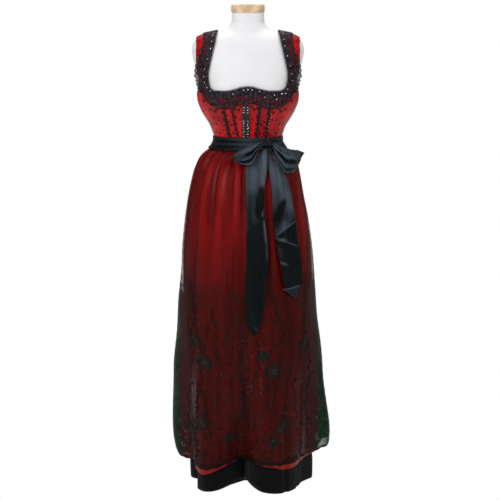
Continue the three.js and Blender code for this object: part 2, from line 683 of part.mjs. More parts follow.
for (const trim of TRIMS) {
  addCloth(trim.name, (u, v) => {
    const z = trim.footZ + (trim.topZ - trim.footZ) * v;
    const wave = Math.round(v * 14) % 2 === 0 ? 1 : 0.78;
    const x = trim.footX + (trim.topX - trim.footX) * v + (u * 2 - 1) * trim.half * wave;
    return bodyPoint(bodyAngle(x, z, false), z, TRIM_OFFSET);
  }, 1, 14, TRIM_WALL, CLOTH_BLACK);
}
addCloth('placket', (u, v) => {
  const z = PLACKET.foot + (PLACKET.top - PLACKET.foot) * v;
  const x = PLACKET.left + (PLACKET.right - PLACKET.left) * u;
  return bodyPoint(bodyAngle(x, z, false), z, PLACKET_OFFSET);
}, 2, 7, PLACKET_WALL, CLOTH_BLACK);
HOOK_HEIGHTS.forEach((height, row) => {
  HOOK_COLUMNS.forEach((middle, column) => {
    addCloth(`hook_${column === 0 ? 'left' : 'right'}_${row + 1}`, (u, v) => {
      const z = height + (v - 0.5) * 2.6;
      const x = middle + (u - 0.5) * 3.6;
      return bodyPoint(bodyAngle(x, z, false), z, HOOK_OFFSET);
    }, 1, 1, HOOK_WALL, SILVER);
  });
});

// ---- waistband -----------------------------------------------------------------------------------
const bandLeft = curve(BAND_SECTIONS, 'z', 'left');
const bandRight = curve(BAND_SECTIONS, 'z', 'right');
const bandFront = curve(BAND_SECTIONS, 'z', 'front');
const bandBack = curve(BAND_SECTIONS, 'z', 'back');
const bandSquareness = curve(BAND_SECTIONS, 'z', 'squareness');
addCloth('waistband', (u, v) => {
  const angle = 360 * u;
  const z = BAND_BOTTOM + (WAIST_SEAM - 0.5 - BAND_BOTTOM) * v;
  const radius = ovalRadius(
    angle,
    bandLeft(z),
    bandRight(z),
    bandFront(z),
    bandBack(z),
    bandSquareness(z),
  );
  return onAngle(angle, radius, z);
}, 36, 2, 2, SATIN_SLATE, 'ring');

// ---- skirt, underskirt and apron -------------------------------------------------------------------
const SKIRT_ROWS = [SKIRT_TOP, 1068, 1042, 1000, 925, 810, 650, 470, 270, SKIRT_HEM];
const UNDERSKIRT_ROWS = [UNDERSKIRT_TOP, 1040, 960, 810, 560, 350, 170, 62, UNDERSKIRT_HEM];
const PANELS = [
  { name: 'front_right', from: 0 },
  { name: 'back_right', from: 90 },
  { name: 'back_left', from: 180 },
  { name: 'front_left', from: 270 },
];
// Both hems lift where the deep front fold is pushed in.
function hemLift(angle, level) {
  const amount = 25 * smooth((300 - level) / (300 - SKIRT_HEM));
  return amount * Math.exp(-((turn(angle, -8) / 17) ** 2));
}
for (const panel of PANELS) {
  const seam = 0.06;
  addCloth(`skirt_${panel.name}`, (u, v) => {
    const angle = panel.from + seam + (90 - 2 * seam) * u;
    const level = SKIRT_ROWS[Math.round(v * (SKIRT_ROWS.length - 1))];
    const grown = smooth((300 - level) / (300 - SKIRT_HEM));
    const raised = level + skirtHemRise(turn(angle, 0)) * grown;
    return onAngle(angle, skirtRadius(angle, raised), raised + hemLift(angle, raised));
  }, PANEL_COLUMNS, SKIRT_ROWS.length - 1, SKIRT_WALL, CLOTH_RED, 'seam');
  addCloth(`underskirt_${panel.name}`, (u, v) => {
    const angle = panel.from + seam + (90 - 2 * seam) * u;
    const level = UNDERSKIRT_ROWS[Math.round(v * (UNDERSKIRT_ROWS.length - 1))];
    return onAngle(angle, underskirtRadius(angle, level), level + hemLift(angle, level));
  }, UNDERSKIRT_COLUMNS, UNDERSKIRT_ROWS.length - 1, UNDERSKIRT_WALL, CLOTH_BLACK, 'seam');
}
addCloth('apron', (u, v) => {
  const angle = ((u * 2 - 1) * APRON_HALF_COLUMNS * 90) / PANEL_COLUMNS;
  const last = SKIRT_ROWS.length - 1;
  const level = SKIRT_ROWS[Math.round(v * last)];
  const z = level === SKIRT_HEM ? apronHem(angle) : level;
  return onAngle(angle, apronRadius(angle, z), z);
}, 2 * APRON_HALF_COLUMNS, SKIRT_ROWS.length - 1, APRON_WALL, ORGANZA);

// ---- sash bow ------------------------------------------------------------------------------------
// The y of the apron's face at a given x and height, without the gathers' hollows.
function apronFace(x, z) {
  let low = -80;
  let high = 80;
  for (let step = 0; step < 40; step += 1) {
    const middle = (low + high) / 2;
    if (apronRadius(middle, z) * Math.sin(radians(middle)) < x) {
      low = middle;
    } else {
      high = middle;
    }
  }
  return -apronRadius(low, z) * Math.cos(radians(low));
}
// The foremost face near a place, so that a ribbon clears every gather under it.
function clearFace(x, z, top = SKIRT_TOP) {
  let face = 0;
  for (const dx of [-9, 0, 9]) {
    for (const dz of [-12, 0, 12]) {
      face = Math.min(face, apronFace(x + dx, clamp(z + dz, 110, top)));
    }
  }
  return face;
}

const LEFT_LOOP = [
  { x: 48, slant: 0, top: 1126, foot: 1112, front: 18, back: 12 },
  { x: 36, slant: 0, top: 1123, foot: 1102, front: 23, back: 13 },
  { x: 24, slant: 0, top: 1120, foot: 1078, front: 27, back: 13 },
  { x: 10, slant: 0, top: 1114, foot: 1056, front: 29, back: 13 },
  { x: -10, slant: 0, top: 1103, foot: 1054, front: 28, back: 11 },
  { x: -30, slant: 0, top: 1092, foot: 1060, front: 23, back: 9 },
  { x: -47, slant: 0, top: 1081, foot: 1068, front: 14, back: 7 },
];
const RIGHT_LOOP = [
  { x: 76, slant: 0, top: 1124, foot: 1108, front: 20, back: 13 },
  { x: 87, slant: 3, top: 1115, foot: 1080, front: 27, back: 14 },
  { x: 104, slant: 4, top: 1106, foot: 1050, front: 33, back: 14 },
  { x: 124, slant: 8, top: 1096, foot: 1025, front: 35, back: 13 },
  { x: 146, slant: 18, top: 1087, foot: 1026, front: 31, back: 11 },
  { x: 165, slant: 28, top: 1078, foot: 1031, front: 19, back: 8 },
];
// A loop runs out from the knot along its front layer and comes back along the layer behind it.
function addLoop(name, table) {
  const rows = table.map((row, i) => ({ ...row, step: i }));
  const columns = Object.fromEntries(
    ['x', 'slant', 'top', 'foot', 'front', 'back'].map((key) => [key, curve(rows, 'step', key)]),
  );
  const last = table.length - 1;
  addCloth(name, (u, v) => {
    const outward = u < 0.5;
    const along = (outward ? u * 2 : 2 - u * 2) * last;
    const x = columns.x(along) + columns.slant(along) * (v - 0.5);
    const foot = columns.foot(along);
    const z = foot + (columns.top(along) - foot) * v;
    const face = clearFace(x, Math.min(z, 1085), 1085);
    const bend = outward ? columns.front(along) : columns.back(along);
    const turnOver = (along / last) ** 6;
    const middle = (columns.front(along) + columns.back(along)) / 2;
    const bulge = outward ? 5 * Math.sin(Math.PI * v) * (1 - turnOver) : 0;
    return new THREE.Vector3(x, face - (bend + (middle - bend) * turnOver) - bulge, z);
  }, 18, 4, RIBBON_WALL, SATIN_SLATE);
}
addLoop('bow_loop_left', LEFT_LOOP);
addLoop('bow_loop_right', RIGHT_LOOP);

const KNOT = { x: 62, z: 1122, halfWidth: 11, halfHeight: 13, depth: 13 };
const knotFace = Math.min(clearFace(KNOT.x, 1085, 1085), -108);
const KNOT_STEPS = [
  { z: -1, width: 0.62, depth: 0.6 },
  { z: -0.7, width: 0.9, depth: 0.9 },
  { z: -0.2, width: 0.98, depth: 1 },
  { z: 0.3, width: 0.92, depth: 1 },
  { z: 0.75, width: 1, depth: 0.85 },
  { z: 1, width: 0.8, depth: 0.55 },
];
const knotRing = (step) => Array.from({ length: 14 }, (_, i) => {
  const angle = (2 * Math.PI * i) / 14;
  return new THREE.Vector3(
    KNOT.x + KNOT.halfWidth * step.width * Math.sin(angle),
    knotFace - 20 - KNOT.depth * step.depth * Math.cos(angle),
    KNOT.z + KNOT.halfHeight * step.z,
  );
});
addRings(
  'bow_knot',
  KNOT_STEPS.map(knotRing),
  new THREE.Vector3(KNOT.x, knotFace - 20, KNOT.z - KNOT.halfHeight - 1),
  new THREE.Vector3(KNOT.x, knotFace - 20, KNOT.z + KNOT.halfHeight + 1),
  SATIN_SLATE,
);

const LEFT_TAIL = [
  { z: 1100, left: 51, right: 60, off: 13 },
  { z: 1088, left: 38, right: 60, off: 9 },
  { z: 1071, left: 16, right: 61, off: 7 },
  { z: 1049, left: -7, right: 60, off: 7 },
  { z: 1020, left: -7, right: 57, off: 8 },
  { z: 993, left: -6, right: 53, off: 9 },
  { z: 936, left: -6, right: 51, off: 9 },
  { z: 883, left: -5, right: 53, off: 9 },
  { z: 837, left: -5, right: 58, off: 9 },
  { z: 794, left: -5, right: 63, off: 9 },
  { z: 760, left: -5, right: 64, off: 9 },
  { z: 728, left: -6, right: 61, off: 9 },
  { z: 682, left: -9, right: 55, off: 9 },
  { z: 604, left: -8, right: 50, off: 9 },
  { z: 566, left: -4, right: 43, off: 9 },
  { z: 541, left: 7, right: 35, off: 9 },
  { z: 527, left: 17, right: 28, off: 9 },
];
const RIGHT_TAIL = [
  { z: 1100, left: 64, right: 73, off: 13 },
  { z: 1088, left: 64, right: 77, off: 9 },
  { z: 1071, left: 63.5, right: 87, off: 7 },
  { z: 1049, left: 63.5, right: 101, off: 7 },
  { z: 1030, left: 66, right: 112, off: 7 },
  { z: 974, left: 74, right: 131, off: 10 },
  { z: 920, left: 76, right: 141, off: 12 },
  { z: 865, left: 79, right: 150, off: 12 },
  { z: 837, left: 83, right: 153, off: 11 },
  { z: 799, left: 91, right: 160, off: 10 },
  { z: 760, left: 98, right: 167, off: 9 },
  { z: 721, left: 105, right: 171, off: 9 },
  { z: 684, left: 111, right: 173, off: 9 },
  { z: 643, left: 144, right: 152, off: 9 },
];
// A hanging tail: its own soft lengthwise bends lie over the apron's face.
function addTail(name, table, rows) {
  const edge = (key) => curve(table.slice().reverse(), 'z', key);
  const left = edge('left');
  const right = edge('right');
  const off = edge('off');
  const top = table[0].z;
  const foot = table[table.length - 1].z;
  addCloth(name, (u, v) => {
    const z = top + (foot - top) * v;
    const x = left(z) + (right(z) - left(z)) * u;
    const ripple = 3 * Math.sin(Math.PI * 2 * u + z / 60) * smooth((1020 - z) / 50);
    return new THREE.Vector3(x, clearFace(x, z) - off(z) - ripple, z);
  }, 5, rows, RIBBON_WALL, SATIN_SLATE);
}
addTail('bow_tail_left', LEFT_TAIL, 15);
addTail('bow_tail_right', RIGHT_TAIL, 13);

export default group;
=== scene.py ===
import math

import bpy
import numpy as np
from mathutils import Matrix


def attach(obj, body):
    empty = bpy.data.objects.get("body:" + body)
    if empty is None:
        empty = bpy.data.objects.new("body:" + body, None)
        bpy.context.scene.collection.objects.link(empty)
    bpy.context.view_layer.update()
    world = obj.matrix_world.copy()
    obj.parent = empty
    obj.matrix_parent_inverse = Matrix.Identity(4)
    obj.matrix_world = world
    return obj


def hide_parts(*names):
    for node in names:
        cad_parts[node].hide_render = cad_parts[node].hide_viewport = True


bl_info = {
    "name": "Dirndl on a Dress Form",
    "version": (1, 0, 0),
    "blender": (4, 5, 0),
    "location": "View3D > Sidebar > Dirndl",
    "description": "Builds a floor-length dirndl with apron, sash and lace collar on a limbless dress form",
    "category": "Add Mesh",
}

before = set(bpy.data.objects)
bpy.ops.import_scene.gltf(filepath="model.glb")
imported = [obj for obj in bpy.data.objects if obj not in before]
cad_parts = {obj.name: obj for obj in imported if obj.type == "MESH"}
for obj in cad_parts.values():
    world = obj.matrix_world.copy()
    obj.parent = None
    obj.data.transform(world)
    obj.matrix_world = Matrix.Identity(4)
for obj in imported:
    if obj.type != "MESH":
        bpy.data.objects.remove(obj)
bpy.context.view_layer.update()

# Tables are in millimetres and degrees: 0 degrees is the front, 90 is +X, 180 is the back.
MM = 0.001
SEAM = 0.06

FORM_SECTIONS = (
    # z, side, front, back
    (860, 62, 48, 58), (872, 112, 78, 90), (900, 138, 96, 112), (950, 145, 104, 122),
    (1000, 139, 101, 116), (1050, 124, 92, 98), (1091, 108, 82, 78), (1115, 104, 80, 73),
    (1129, 104, 81, 72), (1142, 107.5, 84, 73), (1167, 117, 90, 77), (1193, 133.5, 97, 83),
    (1218, 147, 103, 88), (1243, 154, 107, 92), (1262, 151.5, 108, 94), (1280, 148, 107, 95),
    (1300, 149, 105, 95.5), (1331, 160, 99, 98), (1357, 169, 92, 97), (1382, 175, 84, 95),
    (1400, 177, 78, 93), (1425, 171, 68, 89), (1437, 161, 62, 86), (1446, 143, 56, 82),
    (1452, 117, 52, 77), (1456.5, 95, 49, 73), (1462, 79, 47, 69), (1475, 59, 44, 62),
    (1488, 52, 42, 58), (1516, 50.5, 41, 57),
)
FORM_SQUARENESS = 2.3
FORM_FOOT = 860
FORM_SHOULDER = 1425
FORM_TOP = 1516
NECK_BACK = 8
CAP_PROFILE = (
    # radius, z
    (0, 1516.4), (46, 1516.4), (50.9, 1516.6), (51.9, 1517.4), (52.5, 1519), (52.5, 1530), (52.5, 1538.2),
    (52.2, 1540.2), (51.1, 1541.8), (49, 1542.6), (36, 1542.9), (18, 1543), (0, 1543),
)
BUST = {"angle": 38, "width": 21, "z": 1258, "height": 40, "depth": 13}

SKIRT_SECTIONS = (
    # z, left, right, front, back
    (8, 198, 214, 213, 238), (55, 200, 215, 212, 236), (207, 205, 218, 210, 232),
    (423, 208, 216, 205, 228), (636, 208, 210, 196, 221), (741, 208, 205, 190, 214),
    (872, 198, 190, 180, 200), (949, 187, 175, 169, 187), (1001, 176, 166, 157, 173),
    (1027, 169, 161, 147, 160), (1052, 157, 154, 134, 143), (1065, 149, 147, 125, 129),
    (1078, 138, 137, 113, 113), (1090, 122, 120, 98, 95),
)
GATHERS = (
    # z, depth
    (8, 0), (420, 0.4), (640, 1.6), (850, 3.4), (1000, 4.6), (1060, 4.4), (1080, 3.0), (1090, 1.6),
)
GATHER_COUNT = 28
LARGE_FOLDS = (
    # angle, width, reach at the hem, start height
    (-38, 15, 28, 620), (-8, 13, -84, 560), (29, 17, 16, 620), (-66, 10, -30, 520),
    (64, 11, -14, 640), (90, 12, 6, 700), (113, 12, -24, 760), (138, 13, 14, 700),
    (160, 11, -26, 820), (183, 12, 13, 700), (207, 12, -28, 780), (231, 12, 13, 680),
    (255, 10, -20, 740),
)
# Smaller creases set one by one: angle at the top, lean in degrees a metre, width, reach, top, foot.
CREASES = (
    (-74, -6, 3.6, 3.0, 1075, 560), (-60, 14, 3.6, -3.6, 1078, 640), (-49, 6, 5.5, 3.0, 1072, 500),
    (-38, 10, 2.6, -3.4, 1080, 760), (-30, -6, 5.0, 4.0, 1078, 560), (-20, 6, 2.8, -4.0, 1080, 700),
    (-13, 12, 4.4, 3.2, 1074, 560), (-5, -2, 2.6, -3.0, 1070, 780), (6, 3, 4.0, 2.6, 1066, 600),
    (17, 5, 2.6, -3.2, 1060, 560), (27, -4, 3.0, 3.0, 1066, 640), (38, 4, 2.4, -2.8, 1070, 720),
    (49, 3, 3.2, 3.4, 1072, 540), (59, -5, 2.6, -2.8, 1070, 680), (70, 2, 3.2, 2.8, 1074, 600),
    (33, 0, 2.0, -6.0, 330, 8), (-24, 3, 2.8, -4.0, 360, 8), (14, -4, 3.2, 4.0, 420, 8),
    (-50, 4, 2.6, 3.6, 400, 8), (52, -3, 3.0, -4.0, 380, 8), (80, 2, 3.0, 3.4, 430, 8),
    (99, 4, 3.0, 3.6, 1072, 480), (121, -3, 2.8, -3.4, 1070, 620), (131, 5, 3.0, 3.0, 1068, 560),
    (149, -4, 2.4, -3.0, 1072, 700), (170, 3, 3.2, 3.4, 1070, 520), (193, -3, 2.6, -3.2, 1072, 640),
    (217, 4, 3.0, 3.2, 1068, 580), (240, -4, 2.8, -3.0, 1070, 660), (264, 3, 3.0, 3.0, 1074, 500),
    (126, 2, 3.0, -4.0, 400, 8), (172, -3, 2.8, 4.2, 380, 8), (219, 3, 3.2, -4.2, 420, 8),
)
APRON_FLARE = (
    # z, left, right
    (90, 33, 40), (152, 39, 43), (261, 39, 35), (369, 33, 22), (476, 23, 16), (583, 17, 7),
    (741, 3, 3), (872, 2, 1), (1090, 0, 0),
)
APRON_HEM = (
    # angle, z
    (-88, 118), (-74, 86), (-56, 92), (-38, 86), (-24, 97), (-8, 114), (12, 108), (35, 104),
    (62, 113), (88, 126),
)
SKIRT_HEM_RISE = (
    # angle, rise of the satin hem above its lowest line
    (-180, 22), (-135, 30), (-90, 40), (-60, 36), (-38, 10), (-24, 24), (-8, 30), (8, 42), (20, 40),
    (34, 30), (55, 38), (80, 42), (120, 26), (180, 22),
)
APRON_CLEARANCE = 3.2
APRON_EDGE = 86.79
BAND_SECTIONS = (
    # z, left, right, front, back, squareness
    (1093, 128, 126, 104, 101, 2.08), (1105, 118, 117, 95, 90, 2.2),
    (1116, 113, 112.5, 90, 83.5, 2.3), (1130.5, 112, 112, 90, 82.5, 2.3),
)
OVER = None
SIDE_FRONT_ROWS = (
    # inner x, inner z, outer x, outer z; OVER is the line over the shoulder
    (54, 1112, OVER, 1112), (56, 1131, OVER, 1131), (61, 1152, OVER, 1152), (66, 1178, OVER, 1178),
    (71, 1203, OVER, 1203), (75, 1224, OVER, 1222), (79, 1244, OVER, 1237), (83, 1260, OVER, 1250),
    (87, 1272.5, OVER, 1261), (100, 1273, OVER, 1270), (115, 1285, OVER, 1278),
    (121.5, 1305, 149, 1296), (122.5, 1328, 154, 1320), (118, 1353, 158, 1350),
    (112, 1381, 160, 1382), (106, 1408, 160, 1406), (101, 1430, 160, 1424), (97, 1448, 160, 1434),
    (96.5, 1453, 160.5, 1436.5), (OVER, 1456, OVER, 1438),
)
BACK_ROWS = (
    (OVER, 1456, OVER, 1438), (97, 1453, 160.5, 1436), (98, 1447, 159, 1431), (95, 1433, 154, 1412),
    (90, 1420, 148, 1385), (80, 1410, 143, 1352), (58, 1403, 142, 1320), (30, 1400, 146, 1294),
    (0.2, 1399, OVER, 1278), (0.2, 1364, OVER, 1261), (0.2, 1328, OVER, 1245),
    (0.2, 1288, OVER, 1226), (0.2, 1246, OVER, 1203), (0.2, 1204, OVER, 1178),
    (0.2, 1164, OVER, 1152), (0.2, 1132, OVER, 1131), (0.2, 1112, OVER, 1112),
)
FRONT_NECKLINE = ((0, 1287), (18, 1285), (42, 1278), (70, 1273), (87, 1272.5))
COLLAR_FRONT_ROWS = (
    (0, 1288, 0, 1239), (18, 1286, 16, 1238), (42, 1279, 38, 1231), (70, 1274, 66, 1223),
    (97, 1274, 95, 1226), (115, 1286, 120, 1241), (121.5, 1309, 136, 1261),
)
COLLAR_STRAP_ROWS = (
    (121.6, 1310, 136.2, 1262), (122.5, 1328, 147, 1300), (118, 1353, 151, 1346),
    (112, 1381, 145, 1381), (106, 1408, 140, 1408), (101, 1430, 139, 1427), (97, 1448, 138, 1440),
    (96.5, 1453, 138.3, 1445.5), (OVER, 1456, OVER, 1448),
)
COLLAR_BACK_ROWS = (
    (OVER, 1456, OVER, 1448), (97, 1453, 138.3, 1445), (98, 1447, 138, 1439), (95, 1433, 132, 1416),
    (90, 1420, 124, 1392), (80, 1410, 108, 1370), (58, 1403, 74, 1358), (30, 1400, 36, 1354),
    (0, 1399, 0, 1353),
)
TRIMS = (
    # name, top x, top z, foot x, foot z, half width
    ("trim_outer_left", -74, 1221, -56, 1134, 4), ("trim_inner_left", -50, 1226, -31, 1134, 3.2),
    ("trim_inner_right", 37, 1230, 25, 1134, 4.2), ("trim_outer_right", 67, 1221, 53, 1134, 4),
)
TRIM_BEADS = (
    # x, z, size
    (70, 1209, 0.9), (71, 1198, 1.3), (65, 1187, 0.8), (63, 1177, 1.3), (60, 1167, 1.2),
    (58, 1156, 0.8), (54, 1144, 0.9),
)
PLACKET = {"left": -18, "right": 4, "foot": 1133, "top": 1237}
HOOK_COLUMNS = (-13.2, -0.8)
HOOK_HEIGHTS = (1228, 1220, 1212, 1186, 1178, 1170, 1161, 1152, 1144, 1136)
BODICE_OFFSET = 4.4
LACE_OFFSET = 7.6
TRIM_OFFSET = 8.0
PLACKET_OFFSET = 7.2
HOOK_OFFSET = 9.0
# Rhinestones along the collar: share along the row table, share across it, size.
STONES_FRONT = (
    (-0.93, 0.30, 1.5), (-0.78, 0.12, 1.5), (-0.36, 0.22, 1.6), (-0.13, 0.16, 1.8), (0.0, 0.14, 2.0),
    (0.13, 0.14, 1.8), (0.30, 0.12, 1.4), (0.40, 0.36, 1.6), (0.55, 0.20, 1.4), (0.58, 0.42, 1.7),
    (0.68, 0.16, 2.6), (0.76, 0.26, 1.5), (0.86, 0.20, 1.6),
)
STONES_STRAP = (
    (0.06, 0.36, 1.5), (0.14, 0.22, 1.6), (0.24, 0.28, 1.5), (0.36, 0.24, 1.6), (0.50, 0.22, 1.5),
    (0.62, 0.26, 1.6), (0.73, 0.24, 1.5), (0.80, 0.22, 1.4),
)

LEFT_LOOP = (
    # x, slant, top, foot, front, back
    (48, 0, 1126, 1112, 18, 12), (36, 0, 1123, 1102, 23, 13), (24, 0, 1120, 1078, 27, 13),
    (10, 0, 1114, 1056, 29, 13), (-10, 0, 1103, 1054, 28, 11), (-30, 0, 1092, 1060, 23, 9),
    (-47, 0, 1081, 1068, 14, 7),
)
RIGHT_LOOP = (
    # x, slant, top, foot, front, back
    (76, 0, 1124, 1108, 20, 13), (87, 3, 1115, 1080, 27, 14), (104, 4, 1106, 1050, 33, 14),
    (124, 8, 1096, 1025, 35, 13), (146, 18, 1087, 1026, 31, 11), (165, 28, 1078, 1031, 19, 8),
)
# Folds of a loop: height share, lean, width, depth (out of the face is positive), start and end shares.
LEFT_LOOP_FOLDS = (
    (0.80, 0.10, 0.10, 7.0, 0.05, 0.75), (0.58, -0.10, 0.07, -8.0, 0.08, 0.62),
    (0.40, -0.50, 0.06, 6.5, 0.20, 0.80), (0.22, -0.30, 0.08, -7.0, 0.15, 0.85),
    (0.06, 0.00, 0.06, 5.0, 0.20, 0.9),
)
RIGHT_LOOP_FOLDS = (
    (0.86, -0.05, 0.08, 5.0, 0.05, 0.70), (0.66, 0.12, 0.07, 9.0, 0.05, 0.80),
    (0.50, 0.02, 0.07, -10.0, 0.10, 0.95), (0.30, 0.10, 0.07, 5.0, 0.15, 0.95),
    (0.16, 0.10, 0.05, -5.0, 0.20, 0.85),
)
LEFT_TAIL = (
    # z, left, right, off
    (1100, 51, 60, 13), (1088, 38, 60, 9), (1071, 16, 61, 7), (1049, -7, 60, 7), (1020, -7, 57, 8),
    (993, -6, 53, 9), (936, -6, 51, 9), (883, -5, 53, 9), (837, -5, 58, 9), (794, -5, 63, 9),
    (760, -5, 64, 9), (728, -6, 61, 9), (682, -9, 55, 9), (604, -8, 50, 9), (566, -4, 43, 9),
    (541, 7, 35, 9), (527, 17, 28, 9),
)
RIGHT_TAIL = (
    # z, left, right, off
    (1100, 64, 73, 13), (1088, 64, 77, 9), (1071, 63.5, 87, 7), (1049, 63.5, 101, 7), (1030, 66, 112, 7),
    (974, 74, 131, 10), (920, 76, 141, 12), (865, 79, 150, 12), (837, 83, 153, 11), (799, 91, 160, 10),
    (760, 98, 167, 9), (721, 105, 171, 9), (684, 111, 173, 9), (643, 144, 152, 9),
)
# Creases of a tail: x and z of both ends, width, depth of the step across it.
LEFT_TAIL_CREASES = ((42, 1010, 32, 900, 9, -2.6), (50, 886, 57, 800, 6, 2.4), (2, 1040, 0, 860, 6, 2.0))
RIGHT_TAIL_CREASES = ((152, 876, 86, 838, 4, 2.6), (90, 826, 155, 800, 4, -2.4), (116, 950, 84, 880, 9, 2.6))
# Painted highlights and painted shade along a tail's satin: x and z of both ends, width, amount.
LEFT_TAIL_PAINTED_LIGHT = (
    (18, 1060, 14, 970, 12, 0.24), (50, 1090, 47, 990, 8, 0.42), (-3, 1050, -2, 850, 4, 0.12),
    (42, 985, 31, 900, 9, -0.34), (22, 940, 20, 880, 12, 0.12), (46, 912, 44, 896, 4, 0.40),
    (43, 893, 43, 889, 3, -0.50), (50, 882, 57, 818, 4, 0.50), (57, 818, 60, 762, 3, 0.22),
    (20, 552, 30, 544, 4, 0.12),
)
RIGHT_TAIL_PAINTED_LIGHT = (
    (80, 1060, 100, 985, 17, 0.34), (115, 975, 140, 900, 18, 0.30), (114, 940, 82, 876, 8, -0.60),
    (124, 876, 100, 842, 15, 0.34), (152, 877, 88, 839, 2.2, 0.35), (150, 864, 92, 824, 5, -0.30),
    (90, 828, 118, 818, 5, 0.42), (92, 824, 155, 798, 2, 0.30), (100, 752, 121, 743, 4, 0.36),
    (95, 800, 104, 770, 8, 0.10),
)
TURNED_TIP = ((110, 667), (166, 675), (151, 634))
KNOT = {"x": 62, "z": 1122, "half_width": 11, "half_height": 13, "depth": 13}
# Embroidered roses of the apron: x, z, radius; then the stems: x at the foot, foot, top, sway, leaves.
ROSES = (
    (-139, 430, 21), (-166, 490, 16), (82, 408, 21), (47, 456, 15), (179, 478, 16), (-149, 234, 21),
    (-192, 202, 16), (115, 231, 21), (80, 180, 16), (-60, 188, 14),
)
STEMS = (
    (-186, 130, 560, 10, 26), (-160, 112, 640, 15, 30), (-138, 110, 610, 22, 30), (-118, 118, 590, 24, 28),
    (-92, 120, 480, 14, 20), (-58, 128, 560, 12, 22), (-22, 135, 440, 10, 16), (20, 130, 520, 12, 20),
    (52, 125, 420, 14, 18), (70, 118, 640, 18, 30), (96, 118, 600, 20, 28), (128, 122, 640, 22, 30),
    (158, 126, 560, 16, 24), (190, 130, 460, 10, 18),
)


# ---- surfaces worked out from the tables ---------------------------------------------------------
def curve(rows, column, key=0):
    """Monotone cubic interpolation of one column of a table against its key column."""
    ordered = sorted(rows, key=lambda row: row[key])
    xs = np.array([row[key] for row in ordered], float)
    ys = np.array([row[column] for row in ordered], float)
    steps = np.diff(xs)
    slopes = np.diff(ys) / steps
    tangents = np.zeros_like(ys)
    for i in range(1, len(xs) - 1):
        if slopes[i - 1] * slopes[i] > 0:
            before = 2 * steps[i] + steps[i - 1]
            after = steps[i] + 2 * steps[i - 1]
            tangents[i] = (before + after) / (before / slopes[i - 1] + after / slopes[i])
    tangents[0] = slopes[0]
    tangents[-1] = slopes[-1]

    def at(value):
        x = np.clip(np.asarray(value, float), xs[0], xs[-1])
        i = np.clip(np.searchsorted(xs, x, side="right") - 1, 0, len(xs) - 2)
        t = (x - xs[i]) / steps[i]
        return (
            ys[i] * (2 * t**3 - 3 * t**2 + 1)
            + tangents[i] * steps[i] * (t**3 - 2 * t**2 + t)
            + ys[i + 1] * (3 * t**2 - 2 * t**3)
            + tangents[i + 1] * steps[i] * (t**3 - t**2)
        )

    return at


def smooth(value):
    t = np.clip(value, 0, 1)
    return t * t * (3 - 2 * t)


def turn(a, b):
    return (a - b + 180) % 360 - 180


def bell(value, width):
    return np.exp(-((value / width) ** 2))


form_side = curve(FORM_SECTIONS, 1)
form_front = curve(FORM_SECTIONS, 2)
form_back = curve(FORM_SECTIONS, 3)
skirt_left = curve(SKIRT_SECTIONS, 1)
skirt_right = curve(SKIRT_SECTIONS, 2)
skirt_front = curve(SKIRT_SECTIONS, 3)
skirt_back = curve(SKIRT_SECTIONS, 4)
gather_depth = curve(GATHERS, 1)
flare_left = curve(APRON_FLARE, 1)
flare_right = curve(APRON_FLARE, 2)
apron_hem = curve(APRON_HEM, 1)
skirt_hem_rise = curve(SKIRT_HEM_RISE, 1)


def form_radius(angle, z):
    across = np.abs(np.sin(np.radians(angle))) / form_side(z)
    depth = np.where(np.abs(turn(angle, 0)) < 90, form_front(z), form_back(z))
    along = np.abs(np.cos(np.radians(angle))) / depth
    base = (across**FORM_SQUARENESS + along**FORM_SQUARENESS) ** (-1 / FORM_SQUARENESS)
    lift = bell(z - BUST["z"], BUST["height"])
    sides = bell(turn(angle, -BUST["angle"]), BUST["width"]) + bell(turn(angle, BUST["angle"]), BUST["width"])
    return base + BUST["depth"] * lift * sides


def on_angle(angle, radius, z):
    angle = np.radians(angle)
    return np.stack(np.broadcast_arrays(radius * np.sin(angle), -radius * np.cos(angle), z), axis=-1)


def form_point(angle, z):
    return on_angle(angle, form_radius(angle, z), z)


def unit(vectors):
    return vectors / np.maximum(np.linalg.norm(vectors, axis=-1, keepdims=True), 1e-9)


def form_normal(angle, z):
    around = form_point(angle + 1, z) - form_point(angle - 1, z)
    upward = form_point(angle, z + 1.5) - form_point(angle, z - 1.5)
    return unit(np.cross(around, upward))


def body_point(angle, z, offset):
    angle, z = np.broadcast_arrays(np.asarray(angle, float), np.asarray(z, float))
    return form_point(angle, z) + form_normal(angle, z) * np.asarray(offset)[..., None]


def body_angle(x, z, back=False):
    """The angle whose surface point has the given x, on the front or on the back."""
    x, z = np.broadcast_arrays(np.asarray(x, float), np.asarray(z, float))
    low = np.zeros(x.shape)
    high = np.full(x.shape, 90.0)
    for _ in range(36):
        middle = (low + high) / 2
        angle = 180 - middle if back else middle
        near = form_radius(angle, z) * np.sin(np.radians(middle)) < np.abs(x)
        low = np.where(near, middle, low)
        high = np.where(near, high, middle)
    found = 180 - low if back else low
    return np.where(x < 0, -found, found)


def oval_radius(angle, left, right, front, back, squareness=2.0):
    side = np.where(turn(angle, 0) < 0, left, right)
    depth = np.where(np.abs(turn(angle, 0)) < 90, front, back)
    across = np.abs(np.sin(np.radians(angle))) / side
    along = np.abs(np.cos(np.radians(angle))) / depth
    return (across**squareness + along**squareness) ** (-1 / squareness)


def skirt_base(angle, z):
    return oval_radius(angle, skirt_left(z), skirt_right(z), skirt_front(z), skirt_back(z))


def fold_reach(angle, z, valley_share=1.0):
    reach = 0
    for middle, width, depth, start in LARGE_FOLDS:
        grown = np.clip((start - z) / (start - 55), 0, 1.04) ** 1.5
        share = valley_share if depth < 0 else 1
        reach = reach + depth * share * grown * bell(turn(angle, middle), width)
    return reach


CREASE_SHARE = 1.15


